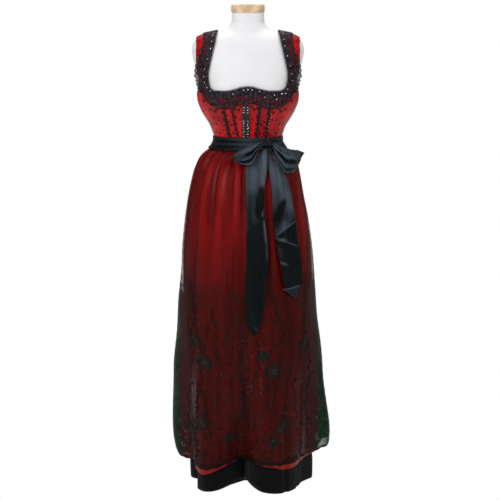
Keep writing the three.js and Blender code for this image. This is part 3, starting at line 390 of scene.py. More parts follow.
def crease_reach(angle, z):
    reach = 0
    for middle, lean, width, depth, top, foot in CREASES:
        centre = middle + lean * (top - z) / 1000
        rise = smooth((top - z) / 60) * smooth((z - foot) / 140 + (foot < 20))
        reach = reach + depth * rise * bell(turn(angle, centre), width)
    return reach * CREASE_SHARE


def gather_wave(angle):
    drift = 24 * np.sin(np.radians(3 * angle + 20)) + 15 * np.sin(np.radians(7 * angle))
    swell = 1 + 0.25 * np.sin(np.radians(5 * angle + 60))
    return np.cos(np.radians(GATHER_COUNT * angle + drift)) * swell


def fine_wave(angle, z):
    drift = 40 * np.sin(np.radians(4 * angle + 70)) + 0.05 * (z - 1000)
    fade = smooth((z - 1020) / 45) * smooth((1093 - z) / 10)
    uneven = smooth(0.5 + 0.5 * np.sin(np.radians(9 * angle + 35)))
    return 0.9 * fade * uneven * np.cos(np.radians(61 * angle + drift))


def gathers(angle, z):
    """The small even gathers show close to the waist; below it they open into the folds."""
    held = 0.3 + 0.7 * smooth((z - 1030) / 35)
    return held * gather_depth(z) * gather_wave(angle) + fine_wave(angle, z)


def skirt_radius(angle, z):
    waves = gathers(angle, z)
    return skirt_base(angle, z) + fold_reach(angle, z) + waves + crease_reach(angle, z)


def apron_radius(angle, z):
    side = np.where(turn(angle, 0) < 0, flare_left(z), flare_right(z))
    flare = side * smooth((np.abs(angle) - 48) / 40)
    waves = gathers(angle, z)
    ripple = 1.8 * smooth((700 - z) / 300) * smooth((np.abs(angle) - 60) / 20) * np.sin(z / 38 + angle / 9)
    plain = skirt_base(angle, z) + fold_reach(angle, z, 0.92)
    return plain + waves + crease_reach(angle, z) + APRON_CLEARANCE + flare + ripple


def underskirt_radius(angle, z):
    in_valley = bell(turn(angle, -8), 22) * smooth((640 - z) / 200)
    above_hem = smooth((z - 55) / 60) * smooth((1075 - z) / 60)
    clearance = 7 + 1.6 * gather_depth(z) + 4 * above_hem + 12 * in_valley
    fine = 0.8 * crease_reach(angle, z) * smooth((420 - z) / 100)
    return skirt_base(angle, z) + fold_reach(angle, z) - clearance + fine


def hem_lift(angle, level):
    amount = 25 * smooth((300 - level) / 245)
    return amount * bell(turn(angle, -8), 17)


FACE_X = np.arange(-232.0, 232.5, 1.0)
FACE_Z = np.arange(80.0, 1091.0, 2.0)


def face_tables():
    """The apron's angle and its depth at each x and z, and the foremost depth around each place."""
    sweep = np.linspace(-88, 88, 900)
    angle, depth = [], []
    for z in FACE_Z:
        radius = apron_radius(sweep, z)
        x = np.maximum.accumulate(radius * np.sin(np.radians(sweep)))
        angle.append(np.interp(FACE_X, x, sweep))
        depth.append(np.interp(FACE_X, x, -radius * np.cos(np.radians(sweep))))
    angle, depth = np.array(angle), np.array(depth)
    clear = depth.copy()
    last_row, last_column = depth.shape[0] - 1, depth.shape[1] - 1
    for rows in range(-6, 7, 2):
        beside_rows = np.clip(np.arange(last_row + 1) + rows, 0, last_row)
        for columns in range(-9, 10, 3):
            beside_columns = np.clip(np.arange(last_column + 1) + columns, 0, last_column)
            clear = np.minimum(clear, depth[np.ix_(beside_rows, beside_columns)])
    return angle, depth, clear


FACE_ANGLE, FACE_DEPTH, FACE_CLEAR = face_tables()


def look_up(table, x, z):
    column = np.clip((x - FACE_X[0]) / 1.0, 0, len(FACE_X) - 1.001)
    row = np.clip((z - FACE_Z[0]) / 2.0, 0, len(FACE_Z) - 1.001)
    c, r = column.astype(int), row.astype(int)
    u, v = column - c, row - r
    low = table[r, c] * (1 - u) + table[r, c + 1] * u
    high = table[r + 1, c] * (1 - u) + table[r + 1, c + 1] * u
    return low * (1 - v) + high * v


def apron_angle(x, z):
    """The angle at which the apron's face has the given x."""
    x, z = np.broadcast_arrays(np.asarray(x, float), np.asarray(z, float))
    return look_up(FACE_ANGLE, x, z)


def clear_face(x, z, top=1090.0):
    """The foremost y near a place, so that a ribbon clears every gather under it."""
    x, z = np.broadcast_arrays(np.asarray(x, float), np.asarray(z, float))
    return look_up(FACE_CLEAR, x, np.clip(z, 110, min(top, 1084)))


def row_place(rows, share, across, mirror, back):
    """A place on the body between the inner and the outer column of a row table."""

    def angles(places):
        return np.array([90.0 if x is OVER else float(body_angle(x, z, back)) for x, z in places])

    inner = angles([row[:2] for row in rows])
    outer = angles([row[2:] for row in rows])
    inner_z = np.array([row[1] for row in rows], float)
    outer_z = np.array([row[3] for row in rows], float)
    position = np.clip(share, 0, 1) * (len(rows) - 1)
    index = np.arange(len(rows))
    joined = [curve(list(zip(index, column)), 1)(position) for column in (inner, outer, inner_z, outer_z)]
    angle = joined[0] + (joined[1] - joined[0]) * across
    z = joined[2] + (joined[3] - joined[2]) * across
    return mirror * angle, z


# ---- meshes --------------------------------------------------------------------------------------
def new_object(name, verts, quads, uv=None, attributes=None):
    mesh = bpy.data.meshes.new(name)
    verts = np.ascontiguousarray(verts, dtype=np.float32)
    quads = np.ascontiguousarray(quads, dtype=np.int32)
    mesh.vertices.add(len(verts))
    mesh.vertices.foreach_set("co", verts.ravel())
    mesh.loops.add(quads.size)
    mesh.loops.foreach_set("vertex_index", quads.ravel())
    mesh.polygons.add(len(quads))
    mesh.polygons.foreach_set("loop_start", np.arange(0, quads.size, quads.shape[1], dtype=np.int32))
    mesh.update(calc_edges=True)
    mesh.polygons.foreach_set("use_smooth", np.ones(len(quads), dtype=bool))
    if uv is not None:
        layer = mesh.uv_layers.new(name="UVMap")
        layer.data.foreach_set("uv", np.ascontiguousarray(uv[quads.ravel()], dtype=np.float32).ravel())
    for key, values in (attributes or {}).items():
        data = mesh.attributes.new(key, "FLOAT", "POINT").data
        data.foreach_set("value", np.ascontiguousarray(values, dtype=np.float32).ravel())
    mesh.validate()
    made = bpy.data.objects.new(name, mesh)
    bpy.context.scene.collection.objects.link(made)
    return made


def grid_normals(points, closed):
    if closed:
        ring = points[:, :-1]
        around = np.roll(ring, -1, axis=1) - np.roll(ring, 1, axis=1)
        around = np.concatenate([around, around[:, :1]], axis=1)
    else:
        around = np.gradient(points, axis=1)
    upward = np.gradient(points, axis=0)
    return unit(np.cross(around, upward))


def grid_quads(rows, columns):
    index = np.arange((rows + 1) * (columns + 1)).reshape(rows + 1, columns + 1)
    return np.stack([index[:-1, :-1], index[:-1, 1:], index[1:, 1:], index[1:, :-1]], axis=-1).reshape(-1, 4)


def rim_quads(rows, columns, shift, closed):
    index = np.arange((rows + 1) * (columns + 1)).reshape(rows + 1, columns + 1)
    edges = [(index[0, :-1], index[0, 1:]), (index[-1, 1:], index[-1, :-1])]
    if not closed:
        edges += [(index[1:, 0], index[:-1, 0]), (index[:-1, -1], index[1:, -1])]
    return np.concatenate([np.stack([a + shift, b + shift, b, a], axis=-1) for a, b in edges])


def cloth(name, points, wall, closed=False, attributes=None, flip=None, uv=None):
    """A thin cloth shell from a grid of outer points in millimetres, with its wall behind them."""
    rows, columns = points.shape[0] - 1, points.shape[1] - 1
    normals = grid_normals(points, closed)
    outward = (normals[..., :2] * points[..., :2]).sum() > 0 if flip is None else not flip
    if uv is None:
        across = np.linalg.norm(np.diff(points, axis=1), axis=-1).mean(axis=0)
        along = np.linalg.norm(np.diff(points, axis=0), axis=-1).mean(axis=1)
        u = np.concatenate([[0], np.cumsum(across)])
        v = np.concatenate([[0], np.cumsum(along)])
        uv = np.stack(np.meshgrid(u, v), axis=-1) * MM
    quads = grid_quads(rows, columns)
    verts = points.reshape(-1, 3)
    flat_uv = uv.reshape(-1, 2)
    values = {key: value.reshape(-1) for key, value in (attributes or {}).items()}
    if not outward:
        quads = quads[:, ::-1]
    if wall:
        inward = normals * (-wall if outward else wall)
        inner = (points + inward).reshape(-1, 3)
        shift = len(verts)
        rim = rim_quads(rows, columns, shift, closed)
        if not outward:
            rim = rim[:, ::-1]
        quads = np.concatenate([quads, quads[:, ::-1] + shift, rim])
        verts = np.concatenate([verts, inner])
        flat_uv = np.concatenate([flat_uv, flat_uv])
        values = {key: np.concatenate([value, value]) for key, value in values.items()}
    made = new_object(name, verts * MM, quads, flat_uv, values)
    if closed:
        weld(made, 0.00002)
    return made


def weld(piece, distance):
    import bmesh

    work = bmesh.new()
    work.from_mesh(piece.data)
    bmesh.ops.remove_doubles(work, verts=work.verts, dist=distance)
    work.to_mesh(piece.data)
    work.free()


def tubes(name, paths, radii, sides=6):
    """Round threads along lists of points in millimetres, closed at both ends."""
    all_verts, all_quads, all_uv, start = [], [], [], 0
    for path, radius in zip(paths, radii):
        path = np.asarray(path, float)
        tangent = unit(np.gradient(path, axis=0))
        helper = np.where(np.abs(tangent[:, 1:2]) < 0.8, [[0.0, 1.0, 0.0]], [[1.0, 0.0, 0.0]])
        side = unit(np.cross(tangent, helper))
        other = np.cross(tangent, side)
        size = np.broadcast_to(np.asarray(radius, float), (len(path),)).copy()
        size[0] *= 0.35
        size[-1] *= 0.35
        angle = np.linspace(0, 2 * np.pi, sides, endpoint=False)
        spoke = np.cos(angle)[None, :, None] * side[:, None] + np.sin(angle)[None, :, None] * other[:, None]
        ring = path[:, None] + size[:, None, None] * spoke
        count = len(path)
        index = start + np.arange(count * sides).reshape(count, sides)
        nxt = np.roll(index, -1, axis=1)
        quads = np.stack([index[:-1], nxt[:-1], nxt[1:], index[1:]], axis=-1).reshape(-1, 4)
        all_verts.append(ring.reshape(-1, 3))
        all_quads.append(quads[:, ::-1])
        length = np.concatenate([[0], np.cumsum(np.linalg.norm(np.diff(path, axis=0), axis=-1))])
        uv = np.stack(np.meshgrid(np.arange(sides) / sides * 6, length), axis=-1) * MM
        all_uv.append(uv.reshape(-1, 2))
        start += count * sides
    return new_object(name, np.concatenate(all_verts) * MM, np.concatenate(all_quads), np.concatenate(all_uv))


# ---- sizes and colours that a user may change ------------------------------------------------------
def srgb(red, green, blue):
    def linear(c):
        c = c / 255
        return c / 12.92 if c <= 0.04045 else ((c + 0.055) / 1.055) ** 2.4

    return (linear(red), linear(green), linear(blue), 1.0)


def colour_property(name, description, red, green, blue):
    return bpy.props.FloatVectorProperty(
        name=name,
        description=description,
        default=srgb(red, green, blue),
        subtype="COLOR",
        size=4,
        min=0,
        max=1,
    )


def length_property(name, description, default):
    return bpy.props.FloatProperty(name=name, description=description, default=default, unit="LENGTH", min=0)


class DirndlSizes(bpy.types.PropertyGroup):
    """Sizes of the dress's details"""

    cloth_wall: length_property("Cloth wall", "Thickness of the satin of bodice and skirt", 0.0011)
    sash_wall: length_property("Sash wall", "Thickness of the sash's satin", 0.0009)
    lace_wall: length_property("Lace wall", "Thickness of the lace collar", 0.0008)
    stone_radius: length_property("Rhinestone", "Radius of a rhinestone of size 1", 0.001)
    hook_radius: length_property("Hook", "Half width of a hook of size 1", 0.001)
    picot_radius: length_property("Picot", "Radius of a loop on the lace's edge", 0.001)
    sprig_spacing: length_property("Sprig spacing", "Distance between the woven sprigs", 0.0145)
    camera_lens: bpy.props.FloatProperty(
        name="Lens", description="Focal length of the camera", default=101.66, min=10, unit="CAMERA"
    )


class DirndlColours(bpy.types.PropertyGroup):
    """Colours of cloth, trim and stand"""

    red_deep: colour_property("Red, deep", "Shaded threads of the red satin", 132, 8, 12)
    red_bright: colour_property("Red, bright", "Lit threads of the red satin", 190, 18, 24)
    sprig: colour_property("Sprigs", "Woven sprigs of the bodice", 22, 2, 5)
    sash_deep: colour_property("Sash, deep", "Shaded threads of the sash", 6, 9, 8)
    sash_bright: colour_property("Sash, bright", "Lit threads of the sash", 84, 95, 106)
    organza_deep: colour_property("Organza, deep", "Shaded threads of the apron", 14, 7, 4)
    organza_bright: colour_property("Organza, bright", "Lit threads of the apron", 30, 20, 14)
    organza_green: colour_property("Organza, green", "Threads of the apron's free edges", 7, 38, 18)
    thread: colour_property("Embroidery", "Embroidery thread of the apron", 22, 18, 15)
    lace: colour_property("Lace", "Thread of the lace", 38, 36, 42)
    black: colour_property("Black cloth", "Underskirt and trims", 15, 15, 18)
    shell: colour_property("Form", "Smooth shell of the dress form", 236, 235, 238)
    wood: colour_property("Cap", "Wood of the neck cap", 232, 200, 163)


def sizes():
    return bpy.context.scene.dirndl_sizes


def colours():
    return bpy.context.scene.dirndl_colours


def shade(colour, share):
    """The colour made lighter (above 1) or darker (below 1)."""
    return tuple(min(1.0, channel * share) for channel in colour[:3]) + (1.0,)


# ---- materials -----------------------------------------------------------------------------------
def node(tree, kind, inputs=None, **settings):
    made = tree.nodes.new(kind)
    for key, value in settings.items():
        setattr(made, key, value)
    for key, value in (inputs or {}).items():
        if isinstance(value, bpy.types.NodeSocket):
            tree.links.new(value, made.inputs[key])
        else:
            made.inputs[key].default_value = value
    return made


def math_node(tree, operation, a, b=0.0, clamp=False):
    made = node(tree, "ShaderNodeMath", {0: a, 1: b}, operation=operation, use_clamp=clamp)
    return made.outputs[0]


def mix_colour(tree, factor, a, b, blend="MIX"):
    made = node(tree, "ShaderNodeMix", data_type="RGBA", blend_type=blend)
    for index, value in ((0, factor), (6, a), (7, b)):
        if isinstance(value, bpy.types.NodeSocket):
            tree.links.new(value, made.inputs[index])
        else:
            made.inputs[index].default_value = value
    return made.outputs[2]


def remap(tree, value, low, high, to_low=0.0, to_high=1.0):
    made = node(
        tree,
        "ShaderNodeMapRange",
        {0: value, 1: low, 2: high, 3: to_low, 4: to_high},
        interpolation_type="SMOOTHSTEP",
    )
    return made.outputs[0]


def start_material(name):
    material = bpy.data.materials.new(name)
    material.use_nodes = True
    tree = material.node_tree
    tree.nodes.clear()
    output = tree.nodes.new("ShaderNodeOutputMaterial")
    surface = tree.nodes.new("ShaderNodeBsdfPrincipled")
    tree.links.new(surface.outputs[0], output.inputs[0])
    return material, tree, surface, output


def thread_group():
    """A shared group: satin or plain weave threads from a coordinate in metres."""
    group = bpy.data.node_groups.get("cloth_threads")
    if group:
        return group
    group = bpy.data.node_groups.new("cloth_threads", "ShaderNodeTree")
    sockets = group.interface
    sockets.new_socket("Vector", in_out="INPUT", socket_type="NodeSocketVector")
    sockets.new_socket("Threads a metre", in_out="INPUT", socket_type="NodeSocketFloat")
    sockets.new_socket("Slub", in_out="INPUT", socket_type="NodeSocketFloat")
    sockets.new_socket("Height", in_out="OUTPUT", socket_type="NodeSocketFloat")
    source = group.nodes.new("NodeGroupInput")
    target = group.nodes.new("NodeGroupOutput")
    vector = source.outputs[0]
    count = source.outputs[1]
    warp = node(
        group,
        "ShaderNodeTexWave",
        {"Vector": vector, "Scale": count, "Distortion": 0.4, "Detail": 1.0},
        wave_type="BANDS",
        bands_direction="X",
    )
    weft = node(
        group,
        "ShaderNodeTexWave",
        {"Vector": vector, "Scale": count, "Distortion": 0.4, "Detail": 1.0},
        wave_type="BANDS",
        bands_direction="Y",
    )
    stretched = node(group, "ShaderNodeMapping", {"Vector": vector, "Scale": (60.0, 900.0, 60.0)})
    slub = node(group, "ShaderNodeTexNoise", {"Vector": stretched.outputs[0], "Scale": 1.0, "Detail": 3.0})
    both = math_node(group, "MULTIPLY", warp.outputs[1], weft.outputs[1])
    streak = math_node(group, "MULTIPLY", slub.outputs[0], source.outputs[2])
    height = math_node(group, "ADD", both, streak)
    group.links.new(height, target.inputs[0])
    return group


def threads(tree, vector, count, slub):
    made = tree.nodes.new("ShaderNodeGroup")
    made.node_tree = thread_group()
    tree.links.new(vector, made.inputs[0])
    made.inputs[1].default_value = count
    made.inputs[2].default_value = slub
    return made.outputs[0]


def uv_vector(tree):
    return node(tree, "ShaderNodeUVMap", uv_map="UVMap").outputs[0]


def satin(
    name,
    deep,
    bright,
    roughness=0.36,
    sheen=0.1,
    gloss=0.3,
    sprigs=False,
    weave=900.0,
    grain=0.08,
    spread=0.8,
):
    material, tree, surface, _ = start_material(name)
    vector = uv_vector(tree)
    place = node(tree, "ShaderNodeTexCoord").outputs["Object"]
    upright = node(tree, "ShaderNodeMapping", {"Vector": place, "Scale": (30.0, 30.0, 3.5)}).outputs[0]
    cloud = node(tree, "ShaderNodeTexNoise", {"Vector": upright, "Scale": 1.0, "Detail": 3.0}).outputs[0]
    # The mesh's "lit" attribute carries painted highlights and painted shade, added to the cloud's random
    # tone.
    lit = node(tree, "ShaderNodeAttribute", attribute_name="lit").outputs["Fac"]
    tone = math_node(tree, "ADD", remap(tree, cloud, 0.3, 0.7, 0.0, spread), lit, clamp=True)
    colour = mix_colour(tree, tone, deep, bright)
    height = threads(tree, vector, weave, 0.9)
    colour = mix_colour(tree, math_node(tree, "MULTIPLY", height, grain), colour, bright)
    if sprigs:
        spots = sprig_pattern(tree, vector)
        colour = mix_colour(tree, math_node(tree, "MULTIPLY", spots, 0.95), colour, tuple(colours().sprig))
        height = math_node(tree, "ADD", height, math_node(tree, "MULTIPLY", spots, 1.6))
    rough = remap(tree, cloud, 0.3, 0.7, roughness - 0.04, roughness + 0.06)
    bump = node(tree, "ShaderNodeBump", {"Height": height, "Strength": 0.2, "Distance": 0.0003})
    tree.links.new(colour, surface.inputs["Base Color"])
    tree.links.new(rough, surface.inputs["Roughness"])
    tree.links.new(bump.outputs[0], surface.inputs["Normal"])
    surface.inputs["Sheen Weight"].default_value = sheen
    surface.inputs["Sheen Roughness"].default_value = 0.35
    surface.inputs["Sheen Tint"].default_value = bright
    surface.inputs["Specular IOR Level"].default_value = gloss
    return material


def sprig_pattern(tree, vector):
    """Small scattered sprigs: a bud in most cells, with leaf dots close to it."""
    spacing = 1 / sizes().sprig_spacing
    warped = node(tree, "ShaderNodeTexNoise", {"Vector": vector, "Scale": 300.0, "Detail": 1.0}).outputs[1]
    wobble = node(tree, "ShaderNodeVectorMath", {0: warped, 3: 0.0044}, operation="SCALE").outputs[0]
    moved = node(tree, "ShaderNodeVectorMath", {0: vector, 1: wobble}, operation="ADD").outputs[0]
    cell = node(
        tree, "ShaderNodeTexVoronoi", {"Vector": moved, "Scale": spacing, "Randomness": 0.7}, feature="F1"
    )
    distance = cell.outputs["Distance"]
    own = node(tree, "ShaderNodeSeparateColor", {0: cell.outputs["Color"]}).outputs[0]
    reach = remap(tree, own, 0.0, 1.0, 0.15, 0.31)
    bud = remap(tree, math_node(tree, "SUBTRACT", distance, reach), -0.02, 0.04, 1.0, 0.0)
    leaf = node(
        tree,
        "ShaderNodeTexVoronoi",
        {"Vector": moved, "Scale": spacing * 2.6, "Randomness": 0.9},
        feature="F1",
    ).outputs["Distance"]
    leaf = remap(tree, leaf, 0.30, 0.42, 1.0, 0.0)
    near = remap(tree, distance, 0.44, 0.66, 1.0, 0.0)
    return math_node(tree, "MAXIMUM", bud, math_node(tree, "MULTIPLY", leaf, near))


def organza(name):
    """Sheer dark cloth: it thickens where it turns away, where it is embroidered and at its edge."""
    material, tree, surface, output = start_material(name)
    vector = uv_vector(tree)
    density = node(tree, "ShaderNodeAttribute", attribute_name="cover").outputs["Fac"]
    greenness = node(tree, "ShaderNodeAttribute", attribute_name="green").outputs["Fac"]
    facing = node(tree, "ShaderNodeLayerWeight", {"Blend": 0.32}).outputs["Facing"]
    net = threads(tree, vector, 1300.0, 0.6)
    cloud = node(tree, "ShaderNodeTexNoise", {"Vector": vector, "Scale": 46.0, "Detail": 6.0}).outputs[0]
    lacy = remap(tree, cloud, 0.38, 0.62, -0.07, 0.06)
    worked = math_node(tree, "MULTIPLY", lacy, remap(tree, density, 0.35, 0.6, 0.12, 1.0))
    turned = math_node(tree, "MULTIPLY", math_node(tree, "POWER", facing, 1.5), 0.42)
    cover = math_node(tree, "ADD", math_node(tree, "ADD", density, worked), turned)
    cover = math_node(tree, "ADD", cover, math_node(tree, "MULTIPLY", net, 0.03), clamp=True)
    deep, bright = tuple(colours().organza_deep), tuple(colours().organza_bright)
    colour = mix_colour(tree, remap(tree, cloud, 0.3, 0.7), deep, bright)
    streaks = node(tree, "ShaderNodeMapping", {"Vector": vector, "Scale": (260.0, 45.0, 1.0)}).outputs[0]
    streak = node(tree, "ShaderNodeTexNoise", {"Vector": streaks, "Scale": 1.0, "Detail": 4.0}).outputs[0]
    green = tuple(colours().organza_green)
    edge_colour = mix_colour(tree, remap(tree, streak, 0.36, 0.66), shade(green, 0.25), shade(green, 1.6))
    warm = node(tree, "ShaderNodeAttribute", attribute_name="warm").outputs["Fac"]
    beside = mix_colour(tree, remap(tree, streak, 0.3, 0.7), srgb(34, 12, 11), srgb(60, 18, 16))
    colour = mix_colour(tree, warm, colour, beside)
    grey = node(tree, "ShaderNodeAttribute", attribute_name="grey").outputs["Fac"]
    colour = mix_colour(tree, grey, colour, srgb(62, 55, 48))
    colour = mix_colour(tree, greenness, colour, edge_colour)
    tree.links.new(colour, surface.inputs["Base Color"])
    surface.inputs["Roughness"].default_value = 0.5
    surface.inputs["Specular IOR Level"].default_value = 0.06
    bump = node(tree, "ShaderNodeBump", {"Height": net, "Strength": 0.3, "Distance": 0.0002})
    tree.links.new(bump.outputs[0], surface.inputs["Normal"])
    clear = node(tree, "ShaderNodeBsdfTransparent", {"Color": (0.93, 0.96, 0.93, 1.0)})
    mixed = node(tree, "ShaderNodeMixShader", {0: cover})
    tree.links.new(clear.outputs[0], mixed.inputs[1])
    tree.links.new(surface.outputs[0], mixed.inputs[2])
    tree.links.new(mixed.outputs[0], output.inputs[0])
    return material


def lace(name):
    """Black lace: a fine net with dense flowers, closed along the edges where "solid" is 1."""
    material, tree, surface, output = start_material(name)
    vector = uv_vector(tree)
    solid = node(tree, "ShaderNodeAttribute", attribute_name="solid").outputs["Fac"]
    net = node(
        tree,
        "ShaderNodeTexVoronoi",
        {"Vector": vector, "Scale": 420.0, "Randomness": 0.35},
        feature="DISTANCE_TO_EDGE",
    ).outputs["Distance"]
    mesh_lines = remap(tree, net, 0.10, 0.20, 1.0, 0.0)
    warped = node(tree, "ShaderNodeTexNoise", {"Vector": vector, "Scale": 150.0, "Detail": 2.0}).outputs[1]
    wobble = node(tree, "ShaderNodeVectorMath", {0: warped, 3: 0.006}, operation="SCALE").outputs[0]
    moved = node(tree, "ShaderNodeVectorMath", {0: vector, 1: wobble}, operation="ADD").outputs[0]
    flowers = node(
        tree, "ShaderNodeTexVoronoi", {"Vector": moved, "Scale": 70.0, "Randomness": 0.6}, feature="F1"
    )
    petals = node(
        tree,
        "ShaderNodeTexVoronoi",
        {"Vector": moved, "Scale": 230.0, "Randomness": 0.8},
        feature="SMOOTH_F1",
    ).outputs["Distance"]
    bloom = remap(tree, flowers.outputs["Distance"], 0.36, 0.50, 1.0, 0.0)
    petal = remap(tree, petals, 0.34, 0.48, 1.0, 0.35)
    dense = math_node(tree, "MULTIPLY", bloom, petal)
    cover = math_node(tree, "MAXIMUM", math_node(tree, "MULTIPLY", mesh_lines, 0.75), dense)
    cover = math_node(tree, "MAXIMUM", cover, solid)
    least = node(tree, "ShaderNodeAttribute", attribute_name="least").outputs["Fac"]
    open_share = math_node(tree, "SUBTRACT", 1.0, least)
    cover = math_node(tree, "ADD", math_node(tree, "MULTIPLY", cover, open_share), least, clamp=True)
    thread = tuple(colours().lace)
    shaded = mix_colour(tree, dense, shade(thread, 0.55), shade(thread, 2.0))
    tree.links.new(shaded, surface.inputs["Base Color"])
    surface.inputs["Roughness"].default_value = 0.6
    surface.inputs["Specular IOR Level"].default_value = 0.15
    raised = math_node(tree, "ADD", math_node(tree, "MULTIPLY", mesh_lines, 0.4), dense)
    bump = node(tree, "ShaderNodeBump", {"Height": raised, "Strength": 0.7, "Distance": 0.0007})
    tree.links.new(bump.outputs[0], surface.inputs["Normal"])
    clear = node(tree, "ShaderNodeBsdfTransparent")
    mixed = node(tree, "ShaderNodeMixShader", {0: cover})
    tree.links.new(clear.outputs[0], mixed.inputs[1])
    tree.links.new(surface.outputs[0], mixed.inputs[2])
    tree.links.new(mixed.outputs[0], output.inputs[0])
    return material


def plain_weave(name, colour, spread=1.7, roughness=0.75, weave=700.0, gloss=0.2):
    material, tree, surface, _ = start_material(name)
    vector = uv_vector(tree)
    place = node(tree, "ShaderNodeTexCoord").outputs["Object"]
    cloud = node(tree, "ShaderNodeTexNoise", {"Vector": place, "Scale": 22.0, "Detail": 4.0}).outputs[0]
    height = threads(tree, vector, weave, 0.5)
    deep, bright = shade(colour, 1 / spread), shade(colour, spread)
    shaded = mix_colour(tree, remap(tree, cloud, 0.3, 0.7), deep, tuple(colour))
    shaded = mix_colour(tree, math_node(tree, "MULTIPLY", height, 0.35), shaded, bright)
    bump = node(tree, "ShaderNodeBump", {"Height": height, "Strength": 0.5, "Distance": 0.0004})
    tree.links.new(shaded, surface.inputs["Base Color"])
    rough = remap(tree, cloud, 0.3, 0.7, roughness - 0.06, roughness + 0.06)
    tree.links.new(rough, surface.inputs["Roughness"])
    tree.links.new(bump.outputs[0], surface.inputs["Normal"])
    surface.inputs["Specular IOR Level"].default_value = gloss
    surface.inputs["Sheen Weight"].default_value = 0.05
    surface.inputs["Sheen Roughness"].default_value = 0.5
    return material


def shell(name):
    material, tree, surface, _ = start_material(name)
    place = node(tree, "ShaderNodeTexCoord").outputs["Object"]
    cloud = node(tree, "ShaderNodeTexNoise", {"Vector": place, "Scale": 7.0, "Detail": 4.0}).outputs[0]
    grain = node(tree, "ShaderNodeTexNoise", {"Vector": place, "Scale": 900.0, "Detail": 2.0}).outputs[0]
    deep, pale = shade(colours().shell, 0.93), tuple(colours().shell)
    colour = mix_colour(tree, remap(tree, cloud, 0.3, 0.7), deep, pale)
    bump = node(tree, "ShaderNodeBump", {"Height": grain, "Strength": 0.12, "Distance": 0.0004})
    tree.links.new(colour, surface.inputs["Base Color"])
    tree.links.new(remap(tree, cloud, 0.3, 0.7, 0.5, 0.62), surface.inputs["Roughness"])
    tree.links.new(bump.outputs[0], surface.inputs["Normal"])
    return material


def wood(name):
    material, tree, surface, _ = start_material(name)
    place = node(tree, "ShaderNodeTexCoord").outputs["Object"]
    stretched = node(tree, "ShaderNodeMapping", {"Vector": place, "Scale": (14.0, 26.0, 2.5)}).outputs[0]
    warp = node(tree, "ShaderNodeTexNoise", {"Vector": stretched, "Scale": 2.2, "Detail": 4.0}).outputs[0]
    rings = node(
        tree,
        "ShaderNodeTexWave",
        {"Vector": stretched, "Scale": 1.6, "Distortion": 5.0, "Detail": 3.0},
        wave_type="RINGS",
    ).outputs[1]
    pores = node(tree, "ShaderNodeTexNoise", {"Vector": stretched, "Scale": 40.0, "Detail": 2.0}).outputs[0]
    ringed = math_node(tree, "MULTIPLY", rings, 0.6)
    clouded = math_node(tree, "MULTIPLY", warp, 0.5)
    figure = math_node(tree, "ADD", ringed, clouded)
    pale, deep = shade(colours().wood, 1.12), shade(colours().wood, 0.72)
    colour = mix_colour(tree, remap(tree, figure, 0.2, 0.9), pale, deep)
    colour = mix_colour(tree, remap(tree, pores, 0.55, 0.75, 0.0, 0.35), colour, shade(colours().wood, 0.35))
    bump = node(tree, "ShaderNodeBump", {"Height": pores, "Strength": 0.2, "Distance": 0.0003})
    tree.links.new(colour, surface.inputs["Base Color"])
    tree.links.new(remap(tree, figure, 0.2, 0.9, 0.38, 0.5), surface.inputs["Roughness"])
    tree.links.new(bump.outputs[0], surface.inputs["Normal"])
    surface.inputs["Coat Weight"].default_value = 0.25
    surface.inputs["Coat Roughness"].default_value = 0.25
    return material


def metal(name, dark, light, roughness, metallic=1.0, stretch=(60.0, 60.0, 6.0)):
    material, tree, surface, _ = start_material(name)
    place = node(tree, "ShaderNodeTexCoord").outputs["Object"]
    stretched = node(tree, "ShaderNodeMapping", {"Vector": place, "Scale": stretch}).outputs[0]
    grain = node(tree, "ShaderNodeTexNoise", {"Vector": stretched, "Scale": 8.0, "Detail": 4.0}).outputs[0]
    colour = mix_colour(tree, remap(tree, grain, 0.3, 0.7), dark, light)
    bump = node(tree, "ShaderNodeBump", {"Height": grain, "Strength": 0.15, "Distance": 0.0002})
    tree.links.new(colour, surface.inputs["Base Color"])
    rough = remap(tree, grain, 0.3, 0.7, roughness - 0.05, roughness + 0.08)
    tree.links.new(rough, surface.inputs["Roughness"])
    tree.links.new(bump.outputs[0], surface.inputs["Normal"])
    surface.inputs["Metallic"].default_value = metallic
    return material


def red(name, sprigs):
    # Painted light: the bodice's copy of the red satin is made brighter to stand for its satin highlights.
    painted_highlight_gain = 1.28 if sprigs else 1.0
    deep, bright = shade(colours().red_deep, painted_highlight_gain), shade(colours().red_bright, painted_highlight_gain)
    return satin(name, deep, bright, 0.30, 0.0, 0.16, sprigs)


def sash(name):
    deep, bright = tuple(colours().sash_deep), tuple(colours().sash_bright)
    return satin(name, deep, bright, 0.3, 0.0, 0.04, grain=0.03, spread=0.012)


MATERIAL_MAKERS = {
    "satin_red_bodice": lambda name: red(name, True),
    "satin_red_skirt": lambda name: red(name, False),
    "satin_slate": sash,
    "satin_black": lambda name: satin(
        name, tuple(colours().black), shade(colours().black, 2.2), 0.4, 0.05, 0.35
    ),
    "organza_dark": organza,
    "embroidery_thread": lambda name: plain_weave(name, tuple(colours().thread), 1.6, 0.6, 1600.0, 0.06),
    "lace_black": lace,
    "cotton_black": lambda name: plain_weave(name, shade(colours().black, 0.7), 1.4, 0.82, 800.0, 0.08),
    "ribbon_black": lambda name: plain_weave(name, shade(colours().black, 0.7), 2.0, 0.55, 1200.0, 0.25),
    "shell_white": shell,
    "wood_cap": wood,
    "silver_hooks": lambda name: metal(name, srgb(190, 192, 196), srgb(236, 238, 242), 0.18),
    "rhinestones": lambda name: metal(name, srgb(240, 243, 248), srgb(255, 255, 255), 0.12, 0.25),
    "steel_stand": lambda name: metal(name, srgb(150, 152, 156), srgb(196, 198, 202), 0.34),
}


def material(name):
    return bpy.data.materials.get(name) or MATERIAL_MAKERS[name](name)


def dress(piece, material_name, slot, *nodes):
    """Gives a piece its material and its body, and hides the nodes that it stands for. Its slot argument is
    not used.
    """
    piece.data.materials.clear()
    piece.data.materials.append(material(material_name))
    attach(piece, "root")
    if nodes:
        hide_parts(*nodes)
    return piece


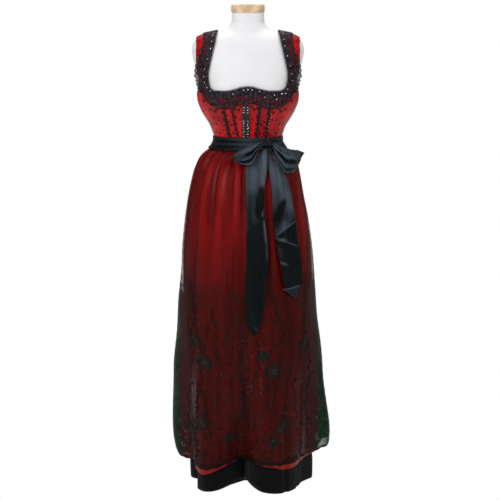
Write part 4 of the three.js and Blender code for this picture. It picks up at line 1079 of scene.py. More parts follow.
def declare(piece):
    """Removes the flat width, length and area that measure() kept. Declares a sheet with the
    size that measure() kept, or with the least width that is taken.
    """
    for key in ("flat_width", "flat_length", "flat_area"):
        del piece[key]


def measure(piece, points):
    """Keeps the size of the flat cut: the widest row, the longest column and the surface's area."""
    across = np.linalg.norm(np.diff(points, axis=1), axis=-1).sum(axis=1)
    along = np.linalg.norm(np.diff(points, axis=0), axis=-1).sum(axis=0)
    ab = points[:-1, 1:] - points[:-1, :-1]
    ad = points[1:, :-1] - points[:-1, :-1]
    area = np.linalg.norm(np.cross(ab, ad), axis=-1).sum()
    piece["flat_width"] = float(across.max() * MM)
    piece["flat_length"] = float(along.max() * MM)
    piece["flat_area"] = float(area * MM * MM)


def mesh_grid(columns, rows):
    u, v = np.meshgrid(np.linspace(0, 1, columns + 1), np.linspace(0, 1, rows + 1))
    return u, v


# ---- repeated small things: one Geometry Nodes tree ----------------------------------------------
def scatter_tree(name, shape):
    """A tree that puts one small shape on every point, turned by its "facing" and sized by its "size"."""
    tree = bpy.data.node_groups.new(name, "GeometryNodeTree")
    sockets = tree.interface
    sockets.new_socket("Geometry", in_out="INPUT", socket_type="NodeSocketGeometry")
    size = sockets.new_socket("Size", in_out="INPUT", socket_type="NodeSocketFloat")
    size.default_value = 1.0
    seed = sockets.new_socket("Seed", in_out="INPUT", socket_type="NodeSocketInt")
    seed.default_value = 7
    look = sockets.new_socket("Material", in_out="INPUT", socket_type="NodeSocketMaterial")
    sockets.new_socket("Geometry", in_out="OUTPUT", socket_type="NodeSocketGeometry")
    source = tree.nodes.new("NodeGroupInput")
    target = tree.nodes.new("NodeGroupOutput")
    item = shape(tree)
    facing = node(tree, "GeometryNodeInputNamedAttribute", {"Name": "facing"}, data_type="FLOAT_VECTOR")
    own_size = node(tree, "GeometryNodeInputNamedAttribute", {"Name": "size"}, data_type="FLOAT")
    spin = node(tree, "FunctionNodeRandomValue", data_type="FLOAT")
    spin.inputs[2].default_value = -0.5
    spin.inputs[3].default_value = 0.5
    tree.links.new(source.outputs["Seed"], spin.inputs["Seed"])
    align = node(tree, "FunctionNodeAlignEulerToVector", axis="Z", pivot_axis="AUTO")
    tree.links.new(facing.outputs[0], align.inputs["Vector"])
    scale = node(tree, "ShaderNodeMath", {0: own_size.outputs[0]}, operation="MULTIPLY")
    tree.links.new(source.outputs["Size"], scale.inputs[1])
    place = tree.nodes.new("GeometryNodeInstanceOnPoints")
    tree.links.new(source.outputs["Geometry"], place.inputs["Points"])
    tree.links.new(item, place.inputs["Instance"])
    tree.links.new(align.outputs[0], place.inputs["Rotation"])
    tree.links.new(scale.outputs[0], place.inputs["Scale"])
    turn_them = tree.nodes.new("GeometryNodeRotateInstances")
    tree.links.new(place.outputs[0], turn_them.inputs["Instances"])
    combine = tree.nodes.new("ShaderNodeCombineXYZ")
    tree.links.new(spin.outputs[1], combine.inputs[2])
    tree.links.new(combine.outputs[0], turn_them.inputs["Rotation"])
    real = tree.nodes.new("GeometryNodeRealizeInstances")
    tree.links.new(turn_them.outputs[0], real.inputs[0])
    finish = tree.nodes.new("GeometryNodeSetMaterial")
    tree.links.new(real.outputs[0], finish.inputs["Geometry"])
    tree.links.new(source.outputs["Material"], finish.inputs["Material"])
    tree.links.new(finish.outputs[0], target.inputs[0])
    return tree, {"size": size.identifier, "seed": seed.identifier, "look": look.identifier}


def stone_shape(tree):
    cone = node(
        tree,
        "GeometryNodeMeshCone",
        {"Vertices": 8, "Radius Top": 0.55, "Radius Bottom": 1.0, "Depth": 0.62},
    )
    return cone.outputs["Mesh"]


def round_loop(tree, steps, sides, thickness):
    """A ring of wire or thread with a radius of one."""
    circle = "GeometryNodeCurvePrimitiveCircle"
    ring = node(tree, circle, {"Resolution": steps, "Radius": 1.0}, mode="RADIUS")
    profile = node(tree, circle, {"Resolution": sides, "Radius": thickness}, mode="RADIUS")
    curves = {"Curve": ring.outputs[0], "Profile Curve": profile.outputs[0]}
    return node(tree, "GeometryNodeCurveToMesh", curves).outputs[0]


def hook_shape(tree):
    loop = round_loop(tree, 14, 8, 0.34)
    wide = node(tree, "GeometryNodeTransform", {"Geometry": loop, "Scale": (1.25, 0.8, 1.0)})
    return wide.outputs[0]


def picot_shape(tree):
    return round_loop(tree, 10, 6, 0.3)


def scatter(name, points, normals, radii, shape, material_name, size=1.0, seed=7):
    """Makes a plain mesh of one small shape on every point, by Geometry Nodes."""
    mesh = bpy.data.meshes.new(name + "_points")
    mesh.vertices.add(len(points))
    mesh.vertices.foreach_set("co", np.ascontiguousarray(points * MM, dtype=np.float32).ravel())
    facing = mesh.attributes.new("facing", "FLOAT_VECTOR", "POINT").data
    facing.foreach_set("vector", np.ascontiguousarray(normals, dtype=np.float32).ravel())
    own = mesh.attributes.new("size", "FLOAT", "POINT").data
    own.foreach_set("value", np.ascontiguousarray(np.asarray(radii) * MM, dtype=np.float32))
    carrier = bpy.data.objects.new(name + "_carrier", mesh)
    bpy.context.scene.collection.objects.link(carrier)
    tree, sockets = scatter_tree(name + "_nodes", shape)
    modifier = carrier.modifiers.new("scatter", "NODES")
    modifier.node_group = tree
    modifier[sockets["size"]] = size
    modifier[sockets["seed"]] = seed
    modifier[sockets["look"]] = material(material_name)
    bpy.context.view_layer.update()
    ready = carrier.evaluated_get(bpy.context.evaluated_depsgraph_get())
    result = bpy.data.meshes.new_from_object(ready)
    result.name = name
    made = bpy.data.objects.new(name, result)
    bpy.context.scene.collection.objects.link(made)
    bpy.data.objects.remove(carrier, do_unlink=True)
    if not result.polygons:
        raise RuntimeError(f"{name}: the nodes made nothing")
    return made


# ---- the pieces ----------------------------------------------------------------------------------
def make_form():
    u, _ = mesh_grid(120, 150)
    body_rows = np.linspace(FORM_FOOT, FORM_SHOULDER, 97)
    neck_rows = np.linspace(1426.6, FORM_TOP, 54)
    heights = np.concatenate([body_rows, neck_rows])
    points = form_point(360 * u, heights[:, None] + 0 * u)
    under = np.repeat(points[:1], 6, axis=0)
    for step, share in enumerate((0.0, 0.35, 0.6, 0.8, 0.93, 0.985)):
        under[step, :, :2] *= share
        under[step, :, 2] = 856 + 4 * share**3
    top = np.repeat(points[-1:], 4, axis=0)
    middle = np.array([0.0, NECK_BACK, FORM_TOP])
    for step, share in enumerate((0.97, 0.7, 0.3, 0.0)):
        top[step] = middle + (points[-1] - middle) * share
    body = cloth("form_body", np.concatenate([under, points, top]), 0, closed=True, flip=False)
    dress(body, "shell_white", "form_shell", "form_torso")
    ring = np.array([on_angle(np.linspace(0, 360, 97), radius, z) for radius, z in CAP_PROFILE])
    ring[..., 1] += NECK_BACK
    cap = cloth("neck_cap", ring, 0, closed=True, flip=False)
    dress(cap, "wood_cap", "cap_wood", "form_neck_cap")
    for name in ("form_pole", "form_base"):
        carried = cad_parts[name]
        carried.data.materials.clear()
        carried.data.materials.append(material("steel_stand"))


def wrinkles(angle, z, amount):
    """Soft pulls between the seams of the bodice, mostly upright, stronger towards the waist."""
    bend = 5 * np.sin(z / 21 + angle / 9)
    waves = (
        np.sin((angle + bend) / 2.6 + z / 47)
        + 0.9 * np.sin(z / 8.5 - angle / 5.5 + 1.2) * np.sin(angle / 7.0 + 0.4)
        + 0.5 * np.sin(z / 4.6 + angle / 6.0 + 2.2) * np.sin(z / 17 + angle / 4.0)
    )
    return amount * waves * (0.35 + 0.65 * smooth((1225 - z) / 80))


UNDERARM = {"z": 1270, "height": 24, "width": 15, "depth": 7}


def bodice_offset(angle, z):
    """The bodice stands off the form a little under the arm, where nothing fills the armhole."""
    beside = bell(np.abs(angle) - 90, UNDERARM["width"])
    return BODICE_OFFSET + UNDERARM["depth"] * beside * bell(z - UNDERARM["z"], UNDERARM["height"])


def make_bodice():
    neckline = curve(FRONT_NECKLINE, 1)
    seam = curve([row[:2] for row in SIDE_FRONT_ROWS[:9]], 0, key=1)
    opening = -5
    for side, mirror in (("left", -1), ("right", 1)):
        start = opening + mirror * 0.15
        u, v = mesh_grid(38, 76)
        guess = start + (mirror * (seam(1112 + 160 * v) - 0.3) - start) * u
        z = 1112 + (neckline(np.abs(guess)) - 1112) * v
        x = start + (mirror * (seam(z) - 0.3) - start) * u
        angle = body_angle(x, z)
        ease = smooth(u / 0.06) * smooth((1 - u) / 0.06) * smooth(v / 0.15)
        points = body_point(angle, z, BODICE_OFFSET + wrinkles(angle, z, 0.5) * ease)
        piece = cloth(f"bodice_front_{side}_cloth", points, sizes().cloth_wall / MM)
        measure(piece, points)
        dress(piece, "satin_red_bodice", "red_satin", f"bodice_front_{side}")
        declare(piece)
        for part, rows, back, first in (
            ("side", SIDE_FRONT_ROWS, False, 0.0),
            ("back", BACK_ROWS, True, 0.0006),
        ):
            u, v = mesh_grid(56, 120)
            share = first + v * 0.9994
            angle, z = row_place(rows, share, 0.004 + 0.992 * u, mirror, back)
            ease = smooth(u / 0.05) * smooth((1 - u) / 0.05)
            points = body_point(angle, z, bodice_offset(angle, z) + wrinkles(angle, z, 0.5) * ease)
            piece = cloth(f"bodice_{part}_{side}_cloth", points, sizes().cloth_wall / MM)
            measure(piece, points)
            dress(piece, "satin_red_bodice", "red_satin", f"bodice_{part}_{side}")
            declare(piece)
    make_seam_allowances()


def collar_place(rows, share, across, back, side):
    if side == 0:
        angle, z = row_place(rows, 1 - np.abs(share) if back else np.abs(share), across, 1, back)
        return np.where(share < 0, -angle, angle), z
    return row_place(rows, share, across, side, back)


BODICE_SEAMS = (
    # angle, foot, top
    (90.0, 1114, 1272), (-90.0, 1114, 1272), (90.0, 1438.6, 1455.6), (-90.0, 1438.6, 1455.6),
    (180.0, 1114, 1396),
)
ALLOWANCE_DEPTH = 2.6
ALLOWANCE_RADIUS = 1.1


def make_seam_allowances():
    """Red cloth behind the open seams of the bodice, so that the form doesn't show through them."""
    paths, radii, count = [], [], 60
    for seam_angle, foot, top in BODICE_SEAMS:
        z = np.linspace(foot, top, count)
        angle = np.full(count, seam_angle)
        paths.append(body_point(angle, z, bodice_offset(angle, z) - ALLOWANCE_DEPTH))
        radii.append(np.full(count, ALLOWANCE_RADIUS))
    piece = tubes("bodice_seam_allowances", paths, radii, 8)
    dress(piece, "satin_red_bodice", "red_satin")


def collar_piece(name, rows, back, side, columns, lines):
    u, v = mesh_grid(columns, lines)
    share = (u * 2 - 1) if side == 0 else u * 0.9988
    if back:
        share = share * 0.9992
    length = 26 if side == 0 else 18
    scallop = 0.035 * np.abs(np.sin(np.pi * length * share))
    across = -0.02 + v * (1.0 + scallop * (v > 0.5) * 1.0)
    angle, z = collar_place(rows, share, np.clip(across, -0.05, 1.06), back, side)
    bloom = np.sin(share * 60 + v * 9) * np.sin(v * 14 + share * 23)
    points = body_point(angle, z, LACE_OFFSET + 0.35 * bloom * smooth(v / 0.1) * smooth((1 - v) / 0.1))
    solid = np.maximum(smooth((0.10 - v) / 0.05), smooth((v - 0.95) / 0.03))
    solid = np.maximum(solid, 0.7 * smooth((0.5 - v) / 0.3))
    least = 0.06 + 0.5 * smooth((0.5 - v) / 0.45)
    piece = cloth(name, points, sizes().lace_wall / MM, attributes={"solid": solid, "least": least})
    measure(piece, points)
    return piece


def make_collar():
    front = collar_piece("collar_front", COLLAR_FRONT_ROWS, False, 0, 220, 26)
    dress(front, "lace_black", "black_lace", "lace_front")
    declare(front)
    back = collar_piece("collar_back", COLLAR_BACK_ROWS, True, 0, 200, 22)
    dress(back, "lace_black", "black_lace", "lace_back")
    declare(back)
    for side, mirror in (("left", -1), ("right", 1)):
        strap = collar_piece(f"collar_strap_{side}", COLLAR_STRAP_ROWS, False, mirror, 130, 20)
        dress(strap, "lace_black", "black_lace", f"lace_strap_{side}")
        declare(strap)
    make_frills()


def make_frills():
    """A small gathered edging of the same lace that stands past the armhole on each side."""
    for side, mirror in (("left", -1), ("right", 1)):
        u, v = mesh_grid(120, 10)
        share = 0.02 + 0.38 * u
        angle, z = row_place(COLLAR_STRAP_ROWS, share, 0.92 + 0.18 * v, mirror, False)
        fade = np.sin(np.pi * np.clip(u, 0.02, 0.98)) ** 0.5
        offset = LACE_OFFSET + 0.9 + (8.5 * v + 1.8 * v * np.sin(u * 2 * np.pi * 9)) * fade
        points = body_point(angle, z + 1.2 * v * np.cos(u * 2 * np.pi * 9), offset)
        attributes = {"solid": smooth((v - 0.8) / 0.1), "least": 0.3 + 0 * v}
        piece = cloth(f"armhole_frill_{side}", points, sizes().lace_wall / MM, attributes=attributes)
        measure(piece, points)
        dress(piece, "lace_black", "black_lace")
        declare(piece)


def body_frames(angle, z, offset):
    return body_point(angle, z, offset), form_normal(np.asarray(angle, float), np.asarray(z, float))


def make_stones():
    places, normals, radii = [], [], []
    for share, across, size in STONES_FRONT:
        angle, z = collar_place(COLLAR_FRONT_ROWS, np.array(share), across, False, 0)
        point, normal = body_frames(angle, z, LACE_OFFSET + 0.5)
        places.append(point)
        normals.append(normal)
        radii.append(size)
    for mirror in (-1, 1):
        for share, across, size in STONES_STRAP:
            shifted = share + 0.02 * mirror
            angle, z = row_place(COLLAR_STRAP_ROWS, shifted, across, mirror, False)
            point, normal = body_frames(angle, z, LACE_OFFSET + 0.5)
            places.append(point)
            normals.append(normal)
            radii.append(size)
    for x, z, size in TRIM_BEADS:
        angle = body_angle(np.array(float(x)), np.array(float(z)))
        point, normal = body_frames(angle, float(z), TRIM_OFFSET + 1.6)
        places.append(point)
        normals.append(normal)
        radii.append(size)
    stones = scatter(
        "collar_stones",
        np.array(places),
        np.array(normals),
        radii,
        stone_shape,
        "rhinestones",
        sizes().stone_radius / MM,
    )
    dress(stones, "rhinestones", "silver_hook")
    places, normals = [], []
    for rows, back, side, count in (
        (COLLAR_FRONT_ROWS, False, 0, 96),
        (COLLAR_BACK_ROWS, True, 0, 84),
        (COLLAR_STRAP_ROWS, False, -1, 52),
        (COLLAR_STRAP_ROWS, False, 1, 52),
    ):
        share = np.linspace(-1, 1, count) if side == 0 else np.linspace(0.01, 0.99, count)
        angle, z = collar_place(rows, share * 0.996, -0.055, back, side)
        point, normal = body_frames(angle, z, LACE_OFFSET - 0.4)
        places.append(point)
        normals.append(normal)
    picots = scatter(
        "collar_picots",
        np.concatenate(places),
        np.concatenate(normals),
        np.full(sum(len(p) for p in places), 1.3),
        picot_shape,
        "ribbon_black",
        sizes().picot_radius / MM,
    )
    dress(picots, "ribbon_black", "black_lace")


def make_trims():
    for name, top_x, top_z, foot_x, foot_z, half in TRIMS:
        u, v = mesh_grid(14, 180)
        z = foot_z + (top_z - foot_z) * v
        ripple = np.sin(v * 2 * np.pi * 15)
        centre = foot_x + (top_x - foot_x) * v
        edge = ripple + 0.5 * np.sin(v * 2 * np.pi * 23 + foot_x)
        wave = 1.5 * np.sin(v * 2 * np.pi * 6.5 + foot_x) + 0.7 * np.sin(v * 2 * np.pi * 11 + foot_x * 2)
        x = centre + (u * 2 - 1) * half * (0.84 + 0.26 * edge) + wave
        angle = body_angle(x, z)
        across = u * 2 - 1
        puff = 0.9 * np.cos(v * 2 * np.pi * 15) * np.sign(across) * np.abs(across) ** 0.7
        gathered = -1.1 * bell(across, 0.16)
        points = body_point(angle, z, TRIM_OFFSET + puff + gathered)
        piece = cloth(name + "_ruche", points, 0.8)
        measure(piece, points)
        dress(piece, "ribbon_black", "black_trim", name)
        declare(piece)


def make_placket():
    u, v = mesh_grid(30, 90)
    z = PLACKET["foot"] + (PLACKET["top"] - PLACKET["foot"]) * v
    x = PLACKET["left"] + (PLACKET["right"] - PLACKET["left"]) * u
    angle = body_angle(x, z)
    fold = -0.7 * bell(u - 0.5, 0.04)
    points = body_point(angle, z, PLACKET_OFFSET + fold + 0.15 * np.sin(v * 40))
    piece = cloth("placket_facing", points, 0.9)
    measure(piece, points)
    dress(piece, "satin_black", "black_trim", "placket")
    declare(piece)
    places, normals, radii, nodes = [], [], [], []
    for name, x in zip(("left", "right"), HOOK_COLUMNS):
        for row, height in enumerate(HOOK_HEIGHTS):
            angle = body_angle(np.array(float(x)), np.array(float(height)))
            point, normal = body_frames(angle, float(height), HOOK_OFFSET - 0.6)
            places.append(point)
            normals.append(normal)
            radii.append(1.75)
            nodes.append(f"hook_{name}_{row + 1}")
    hooks = scatter(
        "placket_hooks",
        np.array(places),
        np.array(normals),
        radii,
        hook_shape,
        "silver_hooks",
        sizes().hook_radius / MM,
    )
    dress(hooks, "silver_hooks", "silver_hook", *nodes)


BAND_FOOT = 1093
BAND_HEIGHT = 37.5


def make_waistband():
    sections = [curve(BAND_SECTIONS, column) for column in range(1, 6)]
    u, v = mesh_grid(288, 32)
    angle = 360 * u
    z = BAND_FOOT + BAND_HEIGHT * v
    radius = oval_radius(angle, *(section(z) for section in sections))
    towards_knot = bell(turn(angle, 26), 42)
    folds = 0.9 * np.sin(v * 15 + 0.7 * np.sin(np.radians(2 * angle)) + turn(angle, 26) / 22)
    ease = smooth(v / 0.12) * smooth((1 - v) / 0.12)
    radius = radius + ease * folds * (0.35 + towards_knot) - 0.3
    points = on_angle(angle, radius, z)
    # Painted highlights: paler bands at the front and towards the knot, with paler and darker stripes along
    # the folds.
    lit = 0.32 * bell(turn(angle, 4), 26) + 0.2 * bell(turn(angle, 62), 16)
    lit = lit + 0.12 * np.sin(v * 15 + 1.2) * ease
    piece = cloth("waistband_sash", points, 1.8, closed=True, attributes={"lit": lit})
    measure(piece, points)
    dress(piece, "satin_slate", "sash_satin", "waistband")
    declare(piece)


# Painted highlights and painted shade in bands on the satin: angle, lean in degrees a metre, width, amount,
# top, foot.
SKIRT_PAINTED_LIGHT = (
    (-30, -6, 4.5, 0.55, 1070, 700), (-13, 6, 4.0, 0.45, 1060, 760), (-20, 6, 2.6, -0.5, 1085, 760),
    (-38, 10, 2.4, -0.45, 1085, 800), (-50, 6, 5.0, 0.30, 1060, 720), (-2, 0, 4.0, -0.5, 1080, 860),
    (-22, 2, 7.0, 0.22, 900, 660), (44, 3, 4.0, 0.35, 1060, 640), (56, -3, 3.0, -0.4, 1070, 560),
    (20, 2, 4.0, 0.3, 1040, 640), (70, 2, 5.0, 0.3, 1060, 600), (-68, 4, 3.0, -0.5, 1080, 560),
    (110, 3, 5.0, 0.4, 1060, 560), (128, -3, 3.0, -0.4, 1070, 500), (150, 4, 6.0, 0.35, 1050, 560),
    (172, -4, 3.0, -0.4, 1070, 560), (196, 4, 6.0, 0.4, 1060, 600), (224, -3, 3.0, -0.4, 1070, 500),
    (246, 4, 5.0, 0.35, 1060, 600),
)
PANELS = (("front_right", 0), ("back_right", 90), ("back_left", 180), ("front_left", 270))
SKIRT_TOP = 1090
SKIRT_FOOT = 55
UNDERSKIRT_TOP = 1086
UNDERSKIRT_FOOT = 8


def make_skirts():
    for name, start in PANELS:
        u, v = mesh_grid(130, 76)
        angle = start + SEAM + (90 - 2 * SEAM) * u
        level = SKIRT_TOP - (SKIRT_TOP - SKIRT_FOOT) * v ** 1.15
        level = level + skirt_hem_rise(turn(angle, 0)) * smooth((300 - level) / 245)
        z = level + hem_lift(angle, level)
        points = on_angle(angle, skirt_radius(angle, level), z)
        # Painted shade towards the hem, and bands of painted highlight and shade that are stronger near the
        # waist.
        lit = -0.9 * smooth((150 - z) / 60)
        for middle, lean, width, amount, top, foot in SKIRT_PAINTED_LIGHT:
            centre = middle + lean * (top - z) / 1000
            ends = smooth((top - z) / 70) * smooth((z - foot) / 160)
            near_waist = 1 + 0.7 * smooth((z - 860) / 120)
            lit = lit + amount * near_waist * ends * bell(turn(angle, centre), width)
        piece = cloth(f"skirt_{name}_cloth", points, sizes().cloth_wall / MM, attributes={"lit": lit})
        measure(piece, points)
        dress(piece, "satin_red_skirt", "red_satin", f"skirt_{name}")
        declare(piece)
        u, v = mesh_grid(84, 44)
        angle = start + SEAM / 4 + (90 - SEAM / 2) * u
        level = UNDERSKIRT_TOP - (UNDERSKIRT_TOP - UNDERSKIRT_FOOT) * v ** 0.75
        z = level + hem_lift(angle, level)
        points = on_angle(angle, underskirt_radius(angle, level), z)
        piece = cloth(f"underskirt_{name}_cloth", points, 1.0)
        measure(piece, points)
        dress(piece, "cotton_black", "black_underskirt", f"underskirt_{name}")
        declare(piece)


def make_apron():
    u, v = mesh_grid(260, 190)
    share = u * 2 - 1
    z_guess = SKIRT_TOP - 980 * v
    scallop = 1.1 * np.abs(np.sin(np.pi * z_guess / 27)) * smooth((900 - z_guess) / 60)
    edge = APRON_EDGE - 1.1 + scallop
    angle = share * edge
    hem = apron_hem(angle) - 3.5 * np.abs(np.sin(np.radians(angle) * 24))
    z = SKIRT_TOP - (SKIRT_TOP - hem) * v ** 1.05
    points = on_angle(angle, apron_radius(angle, z), z)
    worked = smooth((704 - z + 9 * np.sin(angle / 6) + 6 * np.sin(angle / 2.3 + 1)) / 62)
    density = 0.27 + 0.15 * smooth((880 - z) / 170) + 0.16 * worked
    # Painted shadow of the tails: denser, darker cover on the apron between them.
    painted_tail_shadow = bell(points[..., 0] - 62, 18) * (points[..., 1] < 0)
    density = density + 0.22 * painted_tail_shadow * smooth((930 - z) / 90) * smooth((z - 610) / 60)
    border = np.maximum(smooth((np.abs(share) - 0.972) / 0.014), smooth((v - 0.984) / 0.008))
    inner = 0.845 - 0.05 * smooth((420 - z) / 300) * (share > 0) + 0.006 * np.sin(z / 13)
    wing = smooth((np.abs(share) - inner) / 0.03) * smooth((800 - z) / 300)
    # Denser, darker cover towards the sides: partly the apron's double layer there, partly painted shade
    # where it turns away.
    side = smooth((np.abs(share) - 0.80) / 0.10) * smooth((1080 - z) / 60)
    free = smooth((np.abs(share) - 0.60) / 0.10) * smooth((830 - z) / 240)
    wing = wing * free
    thinner = 0.4 * smooth((165 - z) / 40) * (share > 0) * smooth((share - 0.8) / 0.1)
    density = np.maximum(density + 0.28 * side, free * (0.99 - thinner))
    # Painted shade: denser, darker cover down the front's centre valley.
    density = density + 0.15 * bell(turn(angle, -4.5), 5) * smooth((690 - z) / 160) * smooth((z - 130) / 140)
    grey = 0 * z
    for x, height, radius in ROSES:
        apart = np.hypot(points[..., 0] - x, z - height) / radius
        spot = bell(apart, 0.85) * (points[..., 1] < 0)
        density = density + 0.3 * spot
        grey = np.maximum(grey, spot)
    density = np.maximum(np.clip(density, 0, 1), border * (0.5 + 0.48 * smooth((1060 - z) / 200)))
    attributes = {"cover": density, "green": wing, "warm": free, "grey": grey}
    piece = cloth("apron_cloth", points, 0, attributes=attributes)
    measure(piece, points)
    dress(piece, "organza_dark", "apron_organza", "apron")
    declare(piece)


def apron_lift(x, z, lift):
    """Points on the apron's face, moved out by a given amount."""
    angle = apron_angle(x, z)
    return on_angle(angle, apron_radius(angle, z) + lift, z)


def make_glints():
    """A few tiny beads among the embroidery, most of them near the centre and the hem."""
    rng = np.random.default_rng(12)
    x = np.concatenate([rng.normal(0, 14, 26), 42 + rng.normal(0, 3, 16), rng.uniform(-190, 190, 34)])
    z = np.concatenate([rng.uniform(300, 600, 26), rng.uniform(330, 520, 16), rng.uniform(128, 420, 34)])
    angle = apron_angle(x, z)
    places = apron_lift(x, z, 1.2)
    normals = on_angle(angle, np.ones_like(angle), 0 * z)
    radii = rng.uniform(0.45, 0.8, len(x))
    size = sizes().stone_radius / MM
    beads = scatter("apron_beads", places, normals, radii, stone_shape, "rhinestones", size, 21)
    dress(beads, "rhinestones", "silver_hook")


def make_embroidery():
    paths, radii = [], []
    for x, z, radius in ROSES:
        turns = np.linspace(0, 1, 90)
        angle = turns * 2 * np.pi * 3.4
        reach = radius * (0.12 + 0.88 * turns) * (1 + 0.10 * np.sin(angle * 2.5))
        paths.append(apron_lift(x + reach * np.cos(angle), z + reach * np.sin(angle), 1.0))
        radii.append(0.6 + 0.7 * np.abs(np.sin(angle * 2.5)))
        for petal in range(5):
            turn_to = 2 * np.pi * petal / 5 + x
            arc = np.linspace(-0.62, 0.62, 16)
            px = x + radius * (1.02 + 0.16 * np.cos(arc * 2.4)) * np.cos(turn_to + arc)
            pz = z + radius * (1.02 + 0.16 * np.cos(arc * 2.4)) * np.sin(turn_to + arc)
            paths.append(apron_lift(px, pz, 1.0))
            radii.append(0.9 * np.cos(arc * 1.9) + 0.35)
    for foot_x, foot, top, sway, dashes in STEMS:
        t = np.linspace(0, 1, 160)
        z = foot + (top - foot) * t
        x = foot_x + sway * np.sin(t * 8 + foot_x) * (0.4 + 0.6 * t) + 3 * np.sin(t * 31 + foot)
        paths.append(apron_lift(x[::2], z[::2], 0.7))
        radii.append(0.65 - 0.2 * t[::2])
        for dash in range(dashes):
            at = np.linspace((dash + 0.15) / dashes, (dash + 0.72) / dashes, 8)
            beside = 4.5 * (1 if dash % 2 else -1) * (0.4 + 0.6 * abs(math.sin(dash * 1.7 + foot_x)))
            dx = np.interp(at, t, x) + beside
            dz = np.interp(at, t, z)
            paths.append(apron_lift(dx, dz, 0.9))
            radii.append(0.45 + 1.15 * np.sin(np.pi * np.linspace(0.04, 0.96, 8)))
            if dash % 4 == 1:
                reach = np.linspace(0, 1, 9)
                side = 1 if (dash // 4) % 2 else -1
                size = 12 + 4 * math.sin(dash * 2.1 + foot_x)
                lx = dx[0] + side * size * reach
                lz = dz[0] + size * 0.9 * reach - 3 * reach**2
                paths.append(apron_lift(lx, lz, 0.9))
                radii.append(0.3 + 1.1 * np.sin(np.pi * np.clip(reach, 0.02, 0.98)) ** 0.8)
    piece = tubes("apron_embroidery", paths, radii, 6)
    dress(piece, "embroidery_thread", "apron_organza")
    make_glints()


def make_loop(name, table, node_name, folds):
    steps = [(i,) + tuple(row) for i, row in enumerate(table)]
    x_at, slant_at, top_at, foot_at, front_at, back_at = (curve(steps, column) for column in range(1, 7))
    last = len(table) - 1
    u, v = mesh_grid(170, 44)
    outward = u < 0.5
    along = np.where(outward, u * 2, 2 - u * 2) * last
    x = x_at(along) + slant_at(along) * (v - 0.5)
    foot = foot_at(along)
    z = foot + (top_at(along) - foot) * v
    face = clear_face(x, np.minimum(z, 1085), 1085)
    bend = np.where(outward, front_at(along), back_at(along))
    turn_over = (along / last) ** 6
    middle = (front_at(along) + back_at(along)) / 2
    open_front = (1 - turn_over) * outward
    bulge = 5 * np.sin(np.pi * v) * open_front
    share = along / last
    relief = 0
    for place, lean, width, depth, start, end in folds:
        centre = place + lean * (share - 0.5)
        held = smooth((share - start + 0.12) / 0.24) * smooth((end - share + 0.12) / 0.24)
        relief = relief + depth * held * bell(v - centre, width)
    pleats = 0.8 * np.sin(v * 27 + 0.4) * (1 - smooth(share / 0.35))
    points = np.stack(
        [
            x,
            face - (bend + (middle - bend) * turn_over) - bulge - (0.6 * relief + pleats) * open_front,
            z,
        ],
        axis=-1,
    )
    # Painted highlights and painted shade: paler on the raised folds, darker in their troughs and towards the
    # loop's outer turn, with soft painted sheen streaks.
    lit = 0.26 + 0.06 * relief * open_front + 0.1 * np.sin(v * 5 + share * 4)
    lit = np.clip(lit - 0.2 * smooth((share - 0.9) / 0.1), 0.0, 0.8)
    piece = cloth(name, points, sizes().sash_wall / MM, flip=True, attributes={"lit": lit})
    measure(piece, points)
    dress(piece, "satin_slate", "sash_satin", node_name)
    declare(piece)


def make_tail(name, table, node_name, creases, step, tones, painted_shade_below):
    left, right, off = (curve(table, column) for column in (1, 2, 3))
    top, foot = table[0][0], table[-1][0]
    u, v = mesh_grid(60, 200)
    z = top + (foot - top) * v
    x = left(z) + (right(z) - left(z)) * u
    hang = smooth((1020 - z) / 50)
    ripple = 3 * np.sin(np.pi * 2 * u + z / 60) * hang
    fine = 0.5 * np.sin(u * 7 + z / 53) * hang + 0.8 * np.sin(u * 4 - z / 91 + 1.0) * hang
    pleat = 0.6 * np.cos(u * 14) * smooth((z - 1020) / 60)
    relief = 0
    for x1, z1, x2, z2, width, depth in creases:
        length = math.hypot(x2 - x1, z2 - z1)
        along = ((x - x1) * (x2 - x1) + (z - z1) * (z2 - z1)) / length
        across = ((x - x1) * (z2 - z1) - (z - z1) * (x2 - x1)) / length
        ends = smooth((along + 8) / 16) * smooth((length - along + 8) / 16)
        relief = relief + depth * ends * np.tanh(across / width) * bell(across, 4.5 * width)
    foremost = step * smooth((x - 26 - 0.35 * np.maximum(z - 1054, 0)) / 8) * smooth((z - 1012) / 50)
    lift = off(z) + ripple + fine + pleat + foremost + np.maximum(relief, -5)
    points = np.stack([x, clear_face(x, z) - np.maximum(lift, 2.5), z], axis=-1)
    # Painted light: the tail's satin is painted darker below a given height, with painted highlight and shade
    # streaks from the table.
    lit = 0.01 + 0.27 * smooth((z - painted_shade_below) / 140)
    for x1, z1, x2, z2, width, amount in tones:
        length = math.hypot(x2 - x1, z2 - z1)
        along = ((x - x1) * (x2 - x1) + (z - z1) * (z2 - z1)) / length
        across = ((x - x1) * (z2 - z1) - (z - z1) * (x2 - x1)) / length
        reach = 6 + 1.2 * width
        ends = smooth((along + reach) / (2 * reach)) * smooth((length - along + reach) / (2 * reach))
        lit = lit + amount * ends * bell(across, width)
    lit = np.clip(1.3 * lit, 0.0, 0.95)
    piece = cloth(name, points, sizes().sash_wall / MM, attributes={"lit": lit})
    measure(piece, points)
    dress(piece, "satin_slate", "sash_satin", node_name)
    declare(piece)


